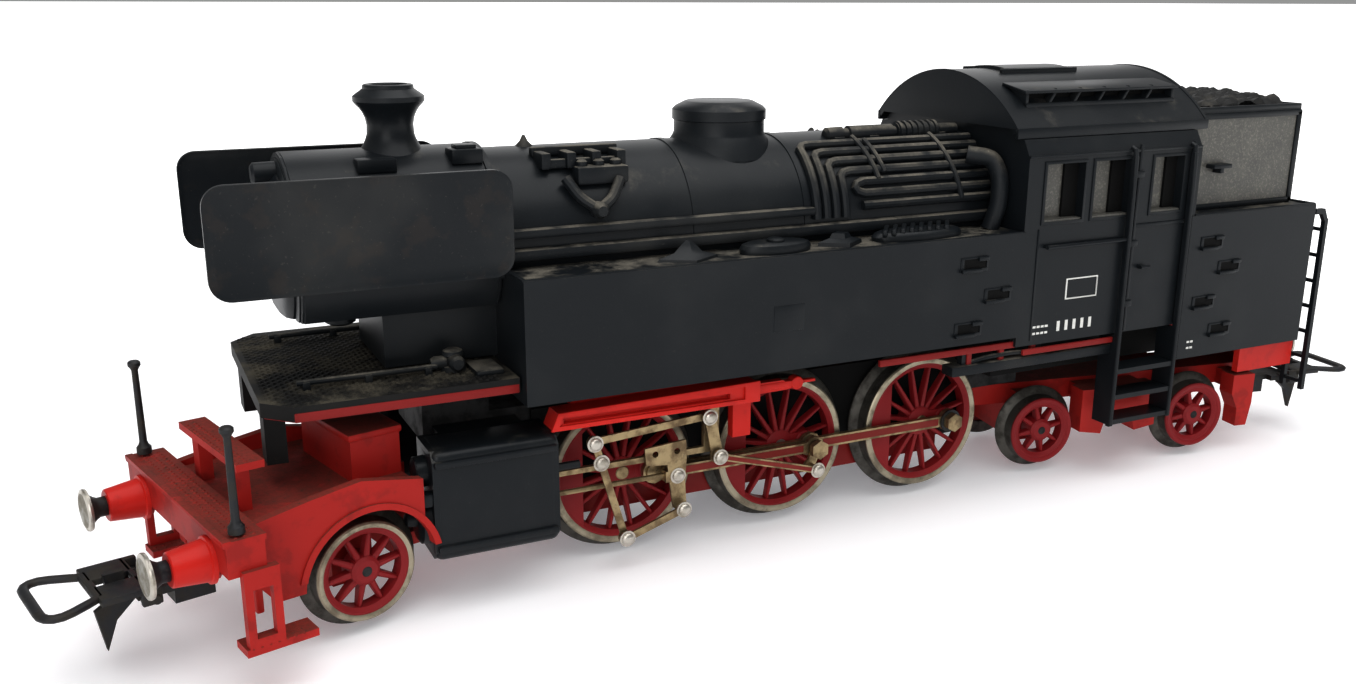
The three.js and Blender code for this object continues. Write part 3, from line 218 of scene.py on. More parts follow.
def spun(section, axis="Z", centre=(0, 0, 0), steps=48):
    """A ring: section is a closed outline of (radius, place along the axis), turned all the way round."""
    rest()
    bpy.ops.mesh.primitive_circle_add(vertices=len(section), radius=1, fill_type="NOTHING")
    obj = made()
    for corner, (radius, along) in zip(obj.data.vertices, section):
        corner.co = (radius, 0, along)
    edit(obj, "VERT")
    bpy.ops.mesh.spin(steps=steps, angle=2 * math.pi, center=(0, 0, 0), axis=(0, 0, 1),
                      use_auto_merge=True)
    bpy.ops.mesh.select_all(action="SELECT")
    bpy.ops.mesh.remove_doubles(threshold=1e-4)
    bpy.ops.mesh.normals_make_consistent(inside=False)
    done()
    obj.data.transform(TURN_TO[axis])
    obj.data.transform(Matrix.Translation(centre))
    return obj


def about(place, matrix):
    """The matrix acting about a place instead of the origin."""
    return Matrix.Translation(place) @ matrix @ Matrix.Translation(-Vector(place))


def tube(points, radius, closed=False, sides=3, flat=None):
    """A round bar bent along points; flat squeezes it to that share of its thickness in z."""
    rest()
    bpy.ops.curve.primitive_nurbs_path_add()
    obj = bpy.context.object
    curve = obj.data
    curve.splines.clear()
    spline = curve.splines.new("POLY")
    spline.points.add(len(points) - 1)
    for point, co in zip(spline.points, points):
        point.co = (*co, 1)
    spline.use_cyclic_u = closed
    curve.dimensions = "3D"
    curve.bevel_depth = radius
    curve.bevel_resolution = sides
    curve.use_fill_caps = not closed
    bpy.ops.object.transform_apply(location=True, rotation=True, scale=True)
    bpy.ops.object.convert(target="MESH")
    obj = bpy.context.object
    edit(obj, "VERT")
    bpy.ops.mesh.remove_doubles(threshold=1e-5)
    bpy.ops.mesh.normals_make_consistent(inside=False)
    done()
    if flat:
        obj.data.transform(about((0, 0, points[0][2]), Matrix.Diagonal((1, 1, flat, 1))))
    return obj


def smooth_path(points, turns=5, share=0.35):
    """Points with their corners rounded off."""
    out = [Vector(points[0])]
    for before, corner, after in zip(points, points[1:], points[2:]):
        before, corner, after = Vector(before), Vector(corner), Vector(after)
        start = corner.lerp(before, share)
        end = corner.lerp(after, share)
        for i in range(turns + 1):
            t = i / turns
            out.append(start.lerp(corner, t).lerp(corner.lerp(end, t), t))
    out.append(Vector(points[-1]))
    return out


def copied(obj, matrix):
    twin = obj.copy()
    twin.data = obj.data.copy()
    bpy.context.collection.objects.link(twin)
    twin.data.transform(matrix)
    if matrix.determinant() < 0:
        twin.data.flip_normals()
    return twin


def joined(*objs):
    objs = [o for o in objs if o]
    rest()
    for obj in objs:
        obj.select_set(True)
    bpy.context.view_layer.objects.active = objs[0]
    if len(objs) > 1:
        bpy.ops.object.join()
    return bpy.context.view_layer.objects.active


def cut_with(obj, *cutters):
    for cutter in cutters:
        modified(obj, "BOOLEAN", object=cutter, operation="DIFFERENCE", solver="EXACT")
        bpy.data.objects.remove(cutter)
    return obj


def shift(obj, x=0, y=0, z=0):
    obj.data.transform(Matrix.Translation((x, y, z)))
    return obj


def row(obj, count, x=0, y=0, z=0):
    """Copies of a piece at even steps, joined into one."""
    return joined(obj, *[copied(obj, Matrix.Translation((x * i, y * i, z * i))) for i in range(1, count)])


def settled(obj, name, body, finish, place="engine", stands_for=(), angle=35):
    """Brings a finished piece to its place in metres and hangs it on its body."""
    take(obj)
    obj.name = name
    obj.data.name = name
    obj.data.transform(PLACES[place])
    obj.data.materials.clear()
    obj.data.materials.append(finish)
    bpy.ops.object.shade_smooth_by_angle(angle=math.radians(angle))
    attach(obj, body)
    if stands_for:
        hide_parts(*stands_for)
    return obj


MIRROR = Matrix.Diagonal((1, -1, 1, 1))


def both(near):
    """A near-side piece joined with its mirror image on the far side."""
    return joined(near, copied(near, MIRROR))


# ---------------------------------------------------------------- finishes


class Wire:
    """One value in a finish; sums and products of wires add their own maths nodes."""

    def __init__(self, tree, socket):
        self.tree = tree
        self.socket = socket

    def maths(self, operation, *others, swap=False):
        node = self.tree.nodes.new("ShaderNodeMath")
        node.operation = operation
        values = [self, *others]
        if swap:
            values.reverse()
        for i, value in enumerate(values):
            if isinstance(value, Wire):
                self.tree.links.new(value.socket, node.inputs[i])
            else:
                node.inputs[i].default_value = value
        return Wire(self.tree, node.outputs[0])

    def __add__(self, other):
        return self.maths("ADD", other)

    __radd__ = __add__

    def __sub__(self, other):
        return self.maths("SUBTRACT", other)

    def __rsub__(self, other):
        return self.maths("SUBTRACT", other, swap=True)

    def __mul__(self, other):
        return self.maths("MULTIPLY", other)

    __rmul__ = __mul__

    def over(self, edge, width):
        """0 below edge, 1 above edge + width, and a ramp between."""
        node = self.tree.nodes.new("ShaderNodeMapRange")
        node.interpolation_type = "SMOOTHSTEP"
        self.tree.links.new(self.socket, node.inputs["Value"])
        node.inputs["From Min"].default_value = edge
        node.inputs["From Max"].default_value = edge + width
        return Wire(self.tree, node.outputs["Result"])

    def clamp(self):
        return self.maths("MULTIPLY", 1.0).maths("MINIMUM", 1.0).maths("MAXIMUM", 0.0)


class Finish:
    """A material under construction."""

    def __init__(self, name):
        self.material = bpy.data.materials.new(name)
        self.material.use_nodes = True
        self.tree = self.material.node_tree
        self.shader = self.tree.nodes["Principled BSDF"]
        self.place = self.node("TexCoord", {}, {}, "Object")

    def node(self, kind, settings, inputs, out=0):
        node = self.tree.nodes.new("ShaderNode" + kind)
        for key, value in settings.items():
            setattr(node, key, value)
        for key, value in inputs.items():
            if isinstance(value, Wire):
                self.tree.links.new(value.socket, node.inputs[key])
            else:
                node.inputs[key].default_value = value
        return Wire(self.tree, node.outputs[out])

    def noise(self, size, detail=4.0, rough=0.55):
        """Noise whose features are about size millimetres across."""
        return self.node("TexNoise", {},
                         {"Vector": self.place, "Scale": 1 / (size * MM), "Detail": detail,
                                          "Roughness": rough})

    def mix(self, a, b, share):
        a, b = ((*v, 1) if isinstance(v, tuple) else v for v in (a, b))
        return self.node("Mix", {"data_type": "RGBA"}, {6: a, 7: b, 0: share}, 2)

    def upward(self):
        facing = self.node("NewGeometry", {}, {}, "Normal")
        return self.node("SeparateXYZ", {}, {"Vector": facing}, "Z")

    def axis(self, name):
        return self.node("SeparateXYZ", {}, {"Vector": self.place}, name)

    def set(self, **values):
        for key, value in values.items():
            socket = self.shader.inputs[key.replace("_", " ")]
            if isinstance(value, Wire):
                self.tree.links.new(value.socket, socket)
            else:
                socket.default_value = (*value, 1) if isinstance(value, tuple) else value

    def bump(self, height, depth, strength=1.0):
        """Depth is in millimetres."""
        normal = self.node("Bump", {}, {"Height": height, "Distance": depth * MM, "Strength": strength},
                           "Normal")
        self.set(Normal=normal)


DUST = (0.26, 0.235, 0.19)


def plastic(name, colour, roughness, dust=0.1, side_dust=0.02, dust_colour=DUST, wear=None, shelf=None):
    """Moulded plastic with a fine grain, dust lying on what faces up and a haze on the sides.

    shelf is a height range, in millimetres, where the dust lies thickly.
    """
    f = Finish(name)
    clumps = f.noise(5.0, 6.0, 0.65)
    specks = f.noise(0.35, 2.0, 0.7)
    smears = f.noise(14.0, 3.0)
    up = f.upward().over(0.25, 0.6)
    lying = up * clumps.over(0.6 - dust * 0.45, 0.25) * (0.3 + dust * 0.6)
    if shelf:
        height = f.axis("Z")
        low, high = (v * MM for v in shelf)
        lying = (lying + up * height.over(low,
                                          0.0002) * (1 - height.over(high, 0.0002)) * clumps.over(0.4,
                                                                                                  0.2) * 0.6)
    haze = smears.over(0.45, 0.3) * side_dust
    grains = specks.over(0.66, 0.06) * (lying * 0.6 + side_dust * 1.5)
    mask = (lying * (0.35 + specks * 0.75) + haze + grains).clamp()
    base = f.mix(colour, tuple(min(1.0, c * 1.25 + 0.001) for c in colour), smears.over(0.4, 0.4))
    if wear:
        base = f.mix(base, wear, f.noise(3.0, 5.0).over(0.52, 0.12) * 0.5)
    f.set(Base_Color=f.mix(base, dust_colour, mask))
    f.set(Roughness=(roughness + mask * 0.5 + smears * 0.12 - 0.06).clamp())
    f.set(Specular_IOR_Level=0.22)
    f.bump(specks * 0.4 + clumps * 0.3, 0.04, 0.5)
    return f.material


def metal(name, colour, dull, roughness, grime=(0.06, 0.045, 0.035), metallic=0.9, blotch=0.5):
    """Plated metal with dull blotches and grime."""
    f = Finish(name)
    patches = f.noise(2.2, 6.0, 0.6)
    fine = f.noise(0.25, 2.0)
    aged = patches.over(0.5 - blotch * 0.2, 0.25)
    dirt = f.noise(0.9, 5.0, 0.7).over(0.6, 0.12)
    f.set(Base_Color=f.mix(f.mix(colour, dull, aged), grime, dirt * 0.6))
    f.set(Metallic=metallic - dirt * 0.4)
    f.set(Roughness=(roughness + aged * 0.2 + dirt * 0.3 + fine * 0.1).clamp())
    f.bump(fine * 0.4 + patches * 0.6, 0.02, 0.35)
    return f.material


BLACK = (0.008, 0.0102, 0.0125)
RED = (0.5, 0.018, 0.012)
body_black = plastic("satin_black_plastic", BLACK, 0.36)
shell_black = plastic("shell_black_plastic", BLACK, 0.38, shelf=(37.2, 37.6))
dusty_black = plastic("dusty_black_plastic", BLACK, 0.45, 0.55, 0.06)
tread_black = plastic("tread_black_plastic", (0.006, 0.006, 0.006), 0.6, 0.45, 0.03, (0.17, 0.15, 0.11))
deflector_black = plastic("deflector_black_plastic", BLACK, 0.4, 0.1, 0.05, wear=(0.022, 0.018, 0.016))
bright_red = plastic("bright_red_plastic", RED, 0.4, 0.15, 0.03, (0.24, 0.12, 0.09),
                     wear=(0.36, 0.014, 0.011))
worn_red = plastic("worn_red_plastic", (0.36, 0.016, 0.012), 0.5, 0.9, 0.05, (0.075, 0.04, 0.028),
                   wear=(0.2, 0.012, 0.01))
strip_red = plastic("strip_red_plastic", (0.2, 0.012, 0.011), 0.5, 0.3, 0.04, (0.08, 0.05, 0.04))
wheel_red = plastic("wheel_red_plastic", (0.2, 0.0095, 0.012), 0.45, 0.2, 0.05, (0.12, 0.07, 0.06))
inlay_red = plastic("inlay_red_paint", (0.17, 0.016, 0.012), 0.5, 0.2, 0.05)
coal_black = plastic("coal_black_plastic", (0.007, 0.0075, 0.008), 0.55, 0.2, 0.04)
# Near-black finish for sheets set where there is only shade: painted shade.
shadow_black = plastic("painted_shade_black", (0.0015, 0.0015, 0.0015), 0.8, 0.0, 0.0)
tread_metal = metal("worn_tread_metal", (0.09, 0.085, 0.075), (0.04, 0.036, 0.03), 0.42, metallic=0.6)
tyre_metal = metal("nickel_tyre", (0.36, 0.32, 0.24), (0.22, 0.19, 0.14), 0.34)
rod_metal = metal("plated_brass_rod", (0.36, 0.28, 0.16), (0.17, 0.12, 0.07), 0.32)
bright_metal = metal("bright_turned_metal", (0.5, 0.47, 0.42), (0.3, 0.27, 0.22), 0.26, blotch=0.2)
dark_metal = metal("blackened_metal", (0.022, 0.023, 0.026), (0.04, 0.036, 0.03), 0.42, metallic=0.5)
# Die-cast metal darkened to near-black: partly the metal's own dark tone, partly painted shade for the chassis
# under the body.
shaded_cast_metal = metal("dark_die_cast_painted_shade", (0.03, 0.03, 0.031), (0.015, 0.015, 0.015), 0.6, metallic=0.4)
copper_metal = metal("copper_winding", (0.5, 0.2, 0.09), (0.3, 0.12, 0.06), 0.35)
buffer_face_metal = metal("worn_buffer_face", (0.36, 0.35, 0.32), (0.2, 0.18, 0.14), 0.45, metallic=0.4,
                          blotch=0.7)


def frosted_pane():
    """Frosted clear plastic, grey and speckled with dust."""
    f = Finish("frosted_pane")
    speck = f.noise(0.3, 3.0, 0.8)
    cloud = f.noise(3.5, 4.0)
    dirt = (speck.over(0.5, 0.16) * 0.55 + cloud * 0.5).clamp()
    f.set(Base_Color=f.mix((0.035, 0.036, 0.034), (0.2, 0.19, 0.165), dirt))
    f.set(Roughness=0.35 + dirt * 0.4)
    f.bump(speck, 0.05, 0.6)
    return f.material


def white_print():
    f = Finish("pale_print")
    f.set(Base_Color=f.mix((0.55, 0.55, 0.52), (0.75, 0.75, 0.72), f.noise(0.8)))
    f.set(Roughness=0.5 + f.noise(0.3) * 0.2)
    return f.material


def nylon():
    f = Finish("gear_nylon")
    f.set(Base_Color=f.mix((0.6, 0.56, 0.47), (0.7, 0.67, 0.6), f.noise(2.0)))
    f.set(Roughness=0.45 + f.noise(0.6) * 0.15)
    return f.material


pane = frosted_pane()
pale_print = white_print()
gear_nylon = nylon()

CAD_FINISHES = {
    shell_black: ["body_shell"],
    body_black: ["cab_roof", "smoke_deflector_left", "smoke_deflector_right", "cab_steps_left",
                 "cab_steps_right", "rear_ladder_left", "rear_ladder_right", "cylinder_left", "cylinder_right",
                 "marker_post_left", "marker_post_right", "front_footplate"],
    pane: ["cab_glazing"],
    bright_red: ["rear_beam", "motion_support_left", "motion_support_right"],
    worn_red: ["front_frame", "bogie_frame"],
    shaded_cast_metal: ["chassis_block", "keeper_plate", "motor_housing"],
    wheel_red: ["drive_wheel_left", "drive_wheel_right", "front_wheelset", "rear_wheelset",
                "leading_wheelset",
                "trailing_wheelset_front", "trailing_wheelset_rear"],
    rod_metal: [f"{n}_{s}" for s in SIDES for n in ("coupling_rod", "connecting_rod", "crosshead",
                                                    "union_link",
                                                   "expansion_link", "combination_lever", "guide_plate",
                                                   "return_crank", "eccentric_rod")],
    bright_metal: [f"{n}_{s}" for s in SIDES for n in ("guide_disc", "front_buffer",
                                                       "rear_buffer")] + ["drive_axle"],
    dark_metal: ["front_coupling", "front_loop", "rear_coupling", "rear_loop"],
    copper_metal: ["armature"],
    gear_nylon: ["idler_gear"],
}
for finish, names in CAD_FINISHES.items():
    for name in names:
        data = frame["nodes"][name].data
        data.materials.clear()
        data.materials.append(finish)

# ---------------------------------------------------------------- boiler and its fittings
BOILER_Z = 39.4
BOILER_R = 10.45
SMOKEBOX_R = 11.05


def boiler():
    barrel = turned("X", (0, 0, BOILER_Z), [(-37.4, BOILER_R), (31.69, BOILER_R)], 96)
    bands = [turned("X", (0, 0, BOILER_Z),
                    [(x, BOILER_R - 0.1), (x + 0.1, BOILER_R + 0.12), (x + 0.9, BOILER_R + 0.12),
                                          (x + 1.0, BOILER_R - 0.1)], 96) for x in (-13.2, 2.2)]
    seam = turned("X", (0, 0, BOILER_Z), [(-37.5, 10), (-37.3, 11.2), (-36.6, 11.2), (-36.4, 10)], 96)
    lower = [sliced(o, (0, 0, 36.5), (0, 0, -1)) for o in (barrel, seam, *bands)]
    return joined(*lower)


settled(boiler(), "boiler_cladding", "engine", body_black)


SMOKEBOX_X = -58.9
SMOKEBOX_FLOOR = 33.15


def smokebox():
    x = SMOKEBOX_X
    drum = turned("X", (0, 0, BOILER_Z),
                  [(x - 0.05, SMOKEBOX_R - 0.5), (x + 0.3, SMOKEBOX_R), (-37.4, SMOKEBOX_R),
                                          (-37.2, SMOKEBOX_R - 0.3)], 96)
    ring = turned("X", (0, 0, BOILER_Z),
                  [(x - 0.3, 9.6), (x - 0.2, 10.3), (x + 0.2, 10.3), (x + 0.3, 9.6)], 72)
    door = turned("X", (0, 0, BOILER_Z),
                  [(x - 1.46, 4), (x - 1.4, 6.8), (x - 1.1, 8.2), (x - 0.5, 8.9), (x + 0.3, 9)], 72)
    floored = [sliced(o, (0, 0, SMOKEBOX_FLOOR), (0, 0, -1)) for o in (drum, ring, door)]
    hub = turned("X", (0, 0, BOILER_Z), [(x - 1.9, 0.6), (x - 1.7, 1.0), (x - 1.2, 1.1)], 24)
    straps = [block((x - 1.7, x - 1.2), (-7.5, 1), (BOILER_Z + dz - 0.4, BOILER_Z + dz + 0.4),
                    0.1) for dz in (-2.6, 2.6)]
    lamp = turned("X", (0, 0, 48.2), [(x - 2.9, 0.9), (x - 2.6, 1.25), (x - 0.1, 1.3), (x + 2.4, 1.1)],
                  28)
    hatch = block((-51.5, -47.2), (-6.6, -4.2), (48.4, 49.9), 0.2)
    box_piece = block((-41.0, -37.4), (-6.2, -3.0), (48.8, 50.5), 0.25)
    box_lid = block((-40.4, -38.0), (-5.6, -3.6), (50.4, 50.9), 0.15)
    turret = turned("Z", (-53.7, -2, 0), [(31.0, 1.2), (31.3, 1.7), (33.3, 1.8)], 24)
    return joined(*floored, hub, *straps, lamp, hatch, box_piece, box_lid, turret)


settled(smokebox(), "smokebox_shell", "engine", body_black)

chimney = joined(
    turned("Z", (-46.3, 0, 0),
           [(48.6, 4.6), (49.6, 3.9), (50.2, 3.5), (50.7, 3.16), (51.3, 2.86), (51.9, 2.66),
                               (53.0, 2.6), (53.8, 2.76), (54.4, 3.02), (54.9, 3.36), (55.3,
                                                                                       3.75), (55.6,
                                                                                               3.98),
                               (56.14, 3.98), (56.5, 3.5), (56.75, 3.12), (56.93, 2.9)], 48),
    spun([(2.05, 56.8), (2.8, 56.8), (2.85, 57.0), (2.8, 57.35), (2.6, 57.45), (2.2, 57.45),
          (2.05, 57.3)],
         "Z", (-46.3, 0, 0), 48),
)
settled(chimney, "chimney_casing", "engine", body_black)
# A near-black disc in the chimney top: painted shade inside its mouth.
chimney_shade_disc = rod("Z", (-46.3, 0, 0), (56.7, 56.99), 2.1, 32)
settled(chimney_shade_disc, "chimney_mouth_painted_shade", "engine", shadow_black)

dome = turned("Z", (-4.5, 0, 0),
              [(47.4, 6.98), (49.6, 6.26), (50.05, 5.95), (50.45, 5.78), (52.0, 5.76), (52.1, 5.98),
                                 (53.3, 5.98), (53.7, 5.6), (54.05, 4.9), (54.3, 4.4), (54.36, 4.2)], 64)
settled(dome, "steam_dome_casing", "engine", body_black)


def fittings():
    """The cone, the valve cluster and the generator along the top of the boiler."""
    cone = turned("Z", (-30.6, 0, 0), [(48.8, 1.3), (49.8, 1.1), (50.4, 0.5), (51.1, 0.15)], 20)
    bars = [block((-31.2, -20.4), (-4.5, -3.4), (49.0, 50.1), 0.25),
            block((-30.6, -20.6), (-6.9, -6.0), (47.8, 48.9), 0.25)]
    ties = row(block((-31.0, -29.8), (-7.4, -3.0), (47.8, 49.7), 0.25), 4, x=3.1)
    chest = block((-27.2, -20.8), (-9.0, -6.0), (46.0, 48.1), 0.35)
    caps = row(turned("Z", (-26.2, -7.6, 0), [(47.8, 0.7), (48.6, 0.65), (48.8, 0.4)], 14), 3, x=2.1)
    vee = tube(smooth_path([(-28.6, -8.6, 46.9), (-27.4, -10.0, 44.8), (-25.4, -10.9, 43.4),
                            (-23.4, -10.2, 44.6),
                            (-22.0, -9.0, 46.6)], 4), 0.62)
    knob = turned("Y", (-25.4, 0, 43.4), [(-12.1, 0.6), (-11.6, 0.95), (-10.2, 0.95)], 16)
    generator = turned("X", (0, -3.0, 49.6),
                       [(9.4, 0.6), (9.7, 1.0), (12.0, 1.05), (12.1, 0.8), (12.9, 0.8), (13.0, 1.1),
                                            (19.8, 1.1), (19.9, 0.8), (20.4, 0.8), (20.5, 1.2), (27.0,
                                                                                                 1.2),
                                            (27.4, 0.9), (30.4, 0.85)], 24)
    ribs = row(turned("X", (0, -3.0, 49.6), [(20.6, 1.2), (20.7, 1.42), (21.1, 1.42), (21.2, 1.2)], 24),
               7, x=0.95)
    feet = row(block((10.4, 12.0), (-4.2, -1.8), (48.2, 49.4), 0.15), 4, x=5.4)
    return joined(cone, *bars, ties, chest, caps, vee, knob, generator, ribs, feet)


settled(fittings(), "boiler_fittings", "engine", dusty_black)


def on_barrel(x, degrees, proud):
    """A point over the boiler's near side, degrees round from the top."""
    a = math.radians(degrees)
    return x, -(BOILER_R + proud) * math.sin(a), BOILER_Z + (BOILER_R + proud) * math.cos(a)


def boiler_side_pipes():
    """Parallel pipes and ledges along the side of the boiler."""
    end, proud, step = 31.0, 0.3, 8.2
    rows = [30 + step * i for i in range(7)]
    pieces = []
    for i, degrees in enumerate(rows[:4]):
        x = 4.0 + 1.4 * i
        fall = [on_barrel(x, 86 - (86 - degrees - 4) * t / 6, proud) for t in range(7)]
        path = [*fall, on_barrel(x + 0.5, degrees + 1, proud), on_barrel(x + 1.4, degrees, proud),
                on_barrel(end, degrees, proud)]
        pieces.append(tube(path, 0.6))
    bend = [on_barrel(end, rows[4], proud), on_barrel(11.2, rows[4], proud),
            on_barrel(10.3, rows[4] + 1.6, proud),
            on_barrel(10.0, rows[4] + step / 2, proud), on_barrel(10.3, rows[5] - 1.6, proud),
            on_barrel(11.2, rows[5], proud), on_barrel(end, rows[5], proud)]
    pieces.append(tube(bend, 0.6))
    pieces.append(tube([on_barrel(10.8, rows[6], proud), on_barrel(end, rows[6], proud)], 0.6))
    for x, first, last in ((12.4, 26, 64), (13.8, 30, 60), (24.5, 27, 82)):
        band = [on_barrel(x + (degrees - first) * 0.03, degrees, 0.75) for degrees in range(first, last,
                                                                                            4)]
        pieces.append(tube(band, 0.38))
    pieces.append(block((-36.3, 3.4), (-11.4, -9.6), (40.8, 41.8), 0.28))
    pieces.append(block((-36.3, 31.6), (-11.75, -9.8), (38.3, 39.6), 0.32))
    duct = smooth_path([(27.6, -9.6, 47.0), (30.2, -11.6, 46.6), (30.5, -13.2, 44.2),
                        (30.3, -13.4, 40.6), (29.4, -13.0, 37.4)], 4)
    pieces.append(tube(duct, 1.15, sides=5))
    near = joined(*pieces)
    return both(near)


settled(boiler_side_pipes(), "boiler_side_pipes", "engine", dusty_black)

# ---------------------------------------------------------------- tanks, cab and bunker
BODY_Y = 17.4


def lid(x, y, profile, sides, across):
    """A lid turned over (x, y) and narrowed in y to a share of its width."""
    obj = turned("Z", (x, y, 0), profile, sides)
    obj.data.transform(about((x, y, 0), Matrix.Diagonal((1, across, 1, 1))))
    return obj


def tank_top():
    pieces = [
        lid(-4.0, -14.2, [(37.2, 4.7), (38.0, 4.8), (38.45, 4.5), (38.65, 3.9)], 48, 0.48),
        turned("Z", (-4.0, -14.2, 0), [(38.5, 1.1), (38.9, 1.1), (39.05, 0.8)], 24),
        lid(-15.7, -14.2, [(37.2, 4.0), (37.7, 3.8), (38.3, 1.8), (39.2, 0.9), (39.7, 0.3)], 4, 0.6),
        lid(5.4, -13.9, [(37.2, 3.3), (37.9, 3.1), (38.3, 1.6), (38.9, 1.2)], 4, 0.7),
        lid(17.0, -13.9, [(37.2, 6.7), (37.9, 6.8), (38.3, 6.4), (38.5, 5.8)], 48, 0.36),
    ]
    slat = block((-0.3, 0.3), (-2.2, 2.2), (38.2, 39.0), 0.15)
    slat.data.transform(Matrix.Translation((12.2, -13.9, 0)) @ Matrix.Rotation(math.radians(-38), 4, "Z"))
    pieces.append(row(slat, 8, x=1.35))
    pieces.append(block((-36.9, 31.6), (-BODY_Y + 0.05, -BODY_Y + 0.5), (37.3, 37.55), 0.08))
    near = joined(*pieces)
    front = block((-37.0, -36.5), (-BODY_Y + 0.1, BODY_Y - 0.1), (37.3, 37.55), 0.08)
    return joined(near, copied(near, MIRROR), front)


settled(tank_top(), "tank_top_fittings", "engine", body_black)

FOOTHOLDS = [(23.7, 33.9), (27.8, 29.5), (23.3, 25.3), (66.1, 33.3), (70.1, 29.5), (65.7, 24.6),
             (69.6, 20.2)]


def foothold(x, z):
    """A small hooded step in the side sheet."""
    y = -BODY_Y
    edge = block((x - 2.2, x + 2.2), (y - 0.14, y + 0.1), (z - 1.0, z + 1.0), 0.14)
    cut_with(edge, block((x - 1.7, x + 1.9), (y - 0.5, y + 0.02), (z - 0.55, z + 0.75)))
    lip = block((x - 2.2, x + 1.0), (y - 0.6, y), (z - 1.0, z - 0.5), 0.14)
    hood = block((x + 0.5, x + 2.2), (y - 0.4, y), (z + 0.4, z + 1.0), 0.14)
    return joined(edge, lip, hood)


holds = joined(*[foothold(x, z) for x, z in FOOTHOLDS])
settled(both(holds), "side_footholds", "engine", body_black)
# Near-black blocks in the foothold recesses: painted shade.
foothold_shade = joined(*[block((x - 1.75, x + 1.95), (-BODY_Y - 0.04, -BODY_Y + 0.1),
                         (z - 0.6, z + 0.8)) for x, z in FOOTHOLDS])
settled(both(foothold_shade), "foothold_painted_shade", "engine", shadow_black)

CAB_Y = 17.2
WINDOWS = [(34.6, 41.3), (42.9, 49.6), (53.5, 59.2)]
WINDOW_Z = (38.4, 46.2)


def window_frames():
    pieces = []
    z0, z1 = WINDOW_Z
    for x0, x1 in WINDOWS:
        outer = block((x0 - 0.3, x1 + 0.3), (-CAB_Y - 0.16, -CAB_Y + 0.15), (z0 - 0.3, z1 + 0.3), 0.08)
        cut_with(outer, block((x0 + 0.1, x1 - 0.1), (-20, -15), (z0 + 0.1, z1 - 0.1)))
        pieces.append(outer)
    return joined(*pieces)


def cab_side():
    pieces = [window_frames()]
    pieces.append(tube([(35.3, -CAB_Y - 0.6, 35.2), (49.4, -CAB_Y - 0.6, 35.2)], 0.28))
    pieces.append(row(block((35.2, 35.7), (-CAB_Y - 0.6, -CAB_Y), (35.0, 35.4), 0.1), 3, x=6.9))
    for x in (50.9, 60.7):
        pieces.append(block((x - 0.22, x + 0.22), (-CAB_Y - 0.22, -CAB_Y + 0.1), (22.0, 48.0), 0.08))
    pieces.append(block((51.1, 60.5), (-CAB_Y - 0.2, -CAB_Y + 0.1), (36.6, 37.1), 0.08))
    pieces.append(block((31.7, 62.3), (-CAB_Y - 0.18, -CAB_Y + 0.1), (47.0, 47.35), 0.08))
    pieces.append(block((34.0, 34.3), (-CAB_Y - 0.12, -CAB_Y + 0.1), (22.4, 37.6), 0.05))
    hinges = [block((50.2, 51.6), (-CAB_Y - 0.42, -CAB_Y), (z, z + 0.9), 0.1) for z in (25.5, 34.0, 43.5)]
    handle = tube([(52.4, -CAB_Y - 0.6, 31.0), (54.0, -CAB_Y - 0.6, 31.0)], 0.22)
    knob = rod("Y", (52.6, 0, 31.0), (-CAB_Y - 0.6, -CAB_Y), 0.3, 10)
    return joined(*pieces, *hinges, handle, knob)


z_low, z_high = WINDOW_Z
# Near-black blocks behind the open half of each window: painted shade of the cab inside.
window_shade_blocks = [block((x0 + 0.64 * (x1 - x0), x1 + 0.1), (-15.9, -15.4), (z_low, z_high)) for x0,
                 x1 in WINDOWS]
window_shade_near = joined(*window_shade_blocks)
settled(both(window_shade_near), "open_window_painted_shade", "engine", shadow_black)
ledges = joined(*[block((x0, x1), (-CAB_Y + 0.05, -15.5), (z_low - 0.1, z_low + 0.35), 0.06) for x0,
                  x1 in WINDOWS])
settled(both(ledges), "window_ledges", "engine", pane)

settled(both(cab_side()), "cab_side_details", "engine", body_black)


def handrails():
    """Round rails each side of the cab door, in front of the flat ones that carry the steps."""
    rails = []
    for x, low in ((49.4, 8.4), (60.4, 8.4)):
        rails.append(tube(smooth_path([(x, -CAB_Y + 0.1, 47.6), (x, -18.05, 47.2), (x, -18.05, low)], 3),
                          0.34))
    near = joined(*rails)
    return both(near)


settled(handrails(), "cab_handrails", "engine", body_black)

ROOF_TOP, EAVES, EAVES_Y = 57.4, 50.5, 15.6
ROOF_R = ((ROOF_TOP - EAVES) ** 2 + EAVES_Y**2) / (2 * (ROOF_TOP - EAVES))
ROOF_Z = ROOF_TOP - ROOF_R


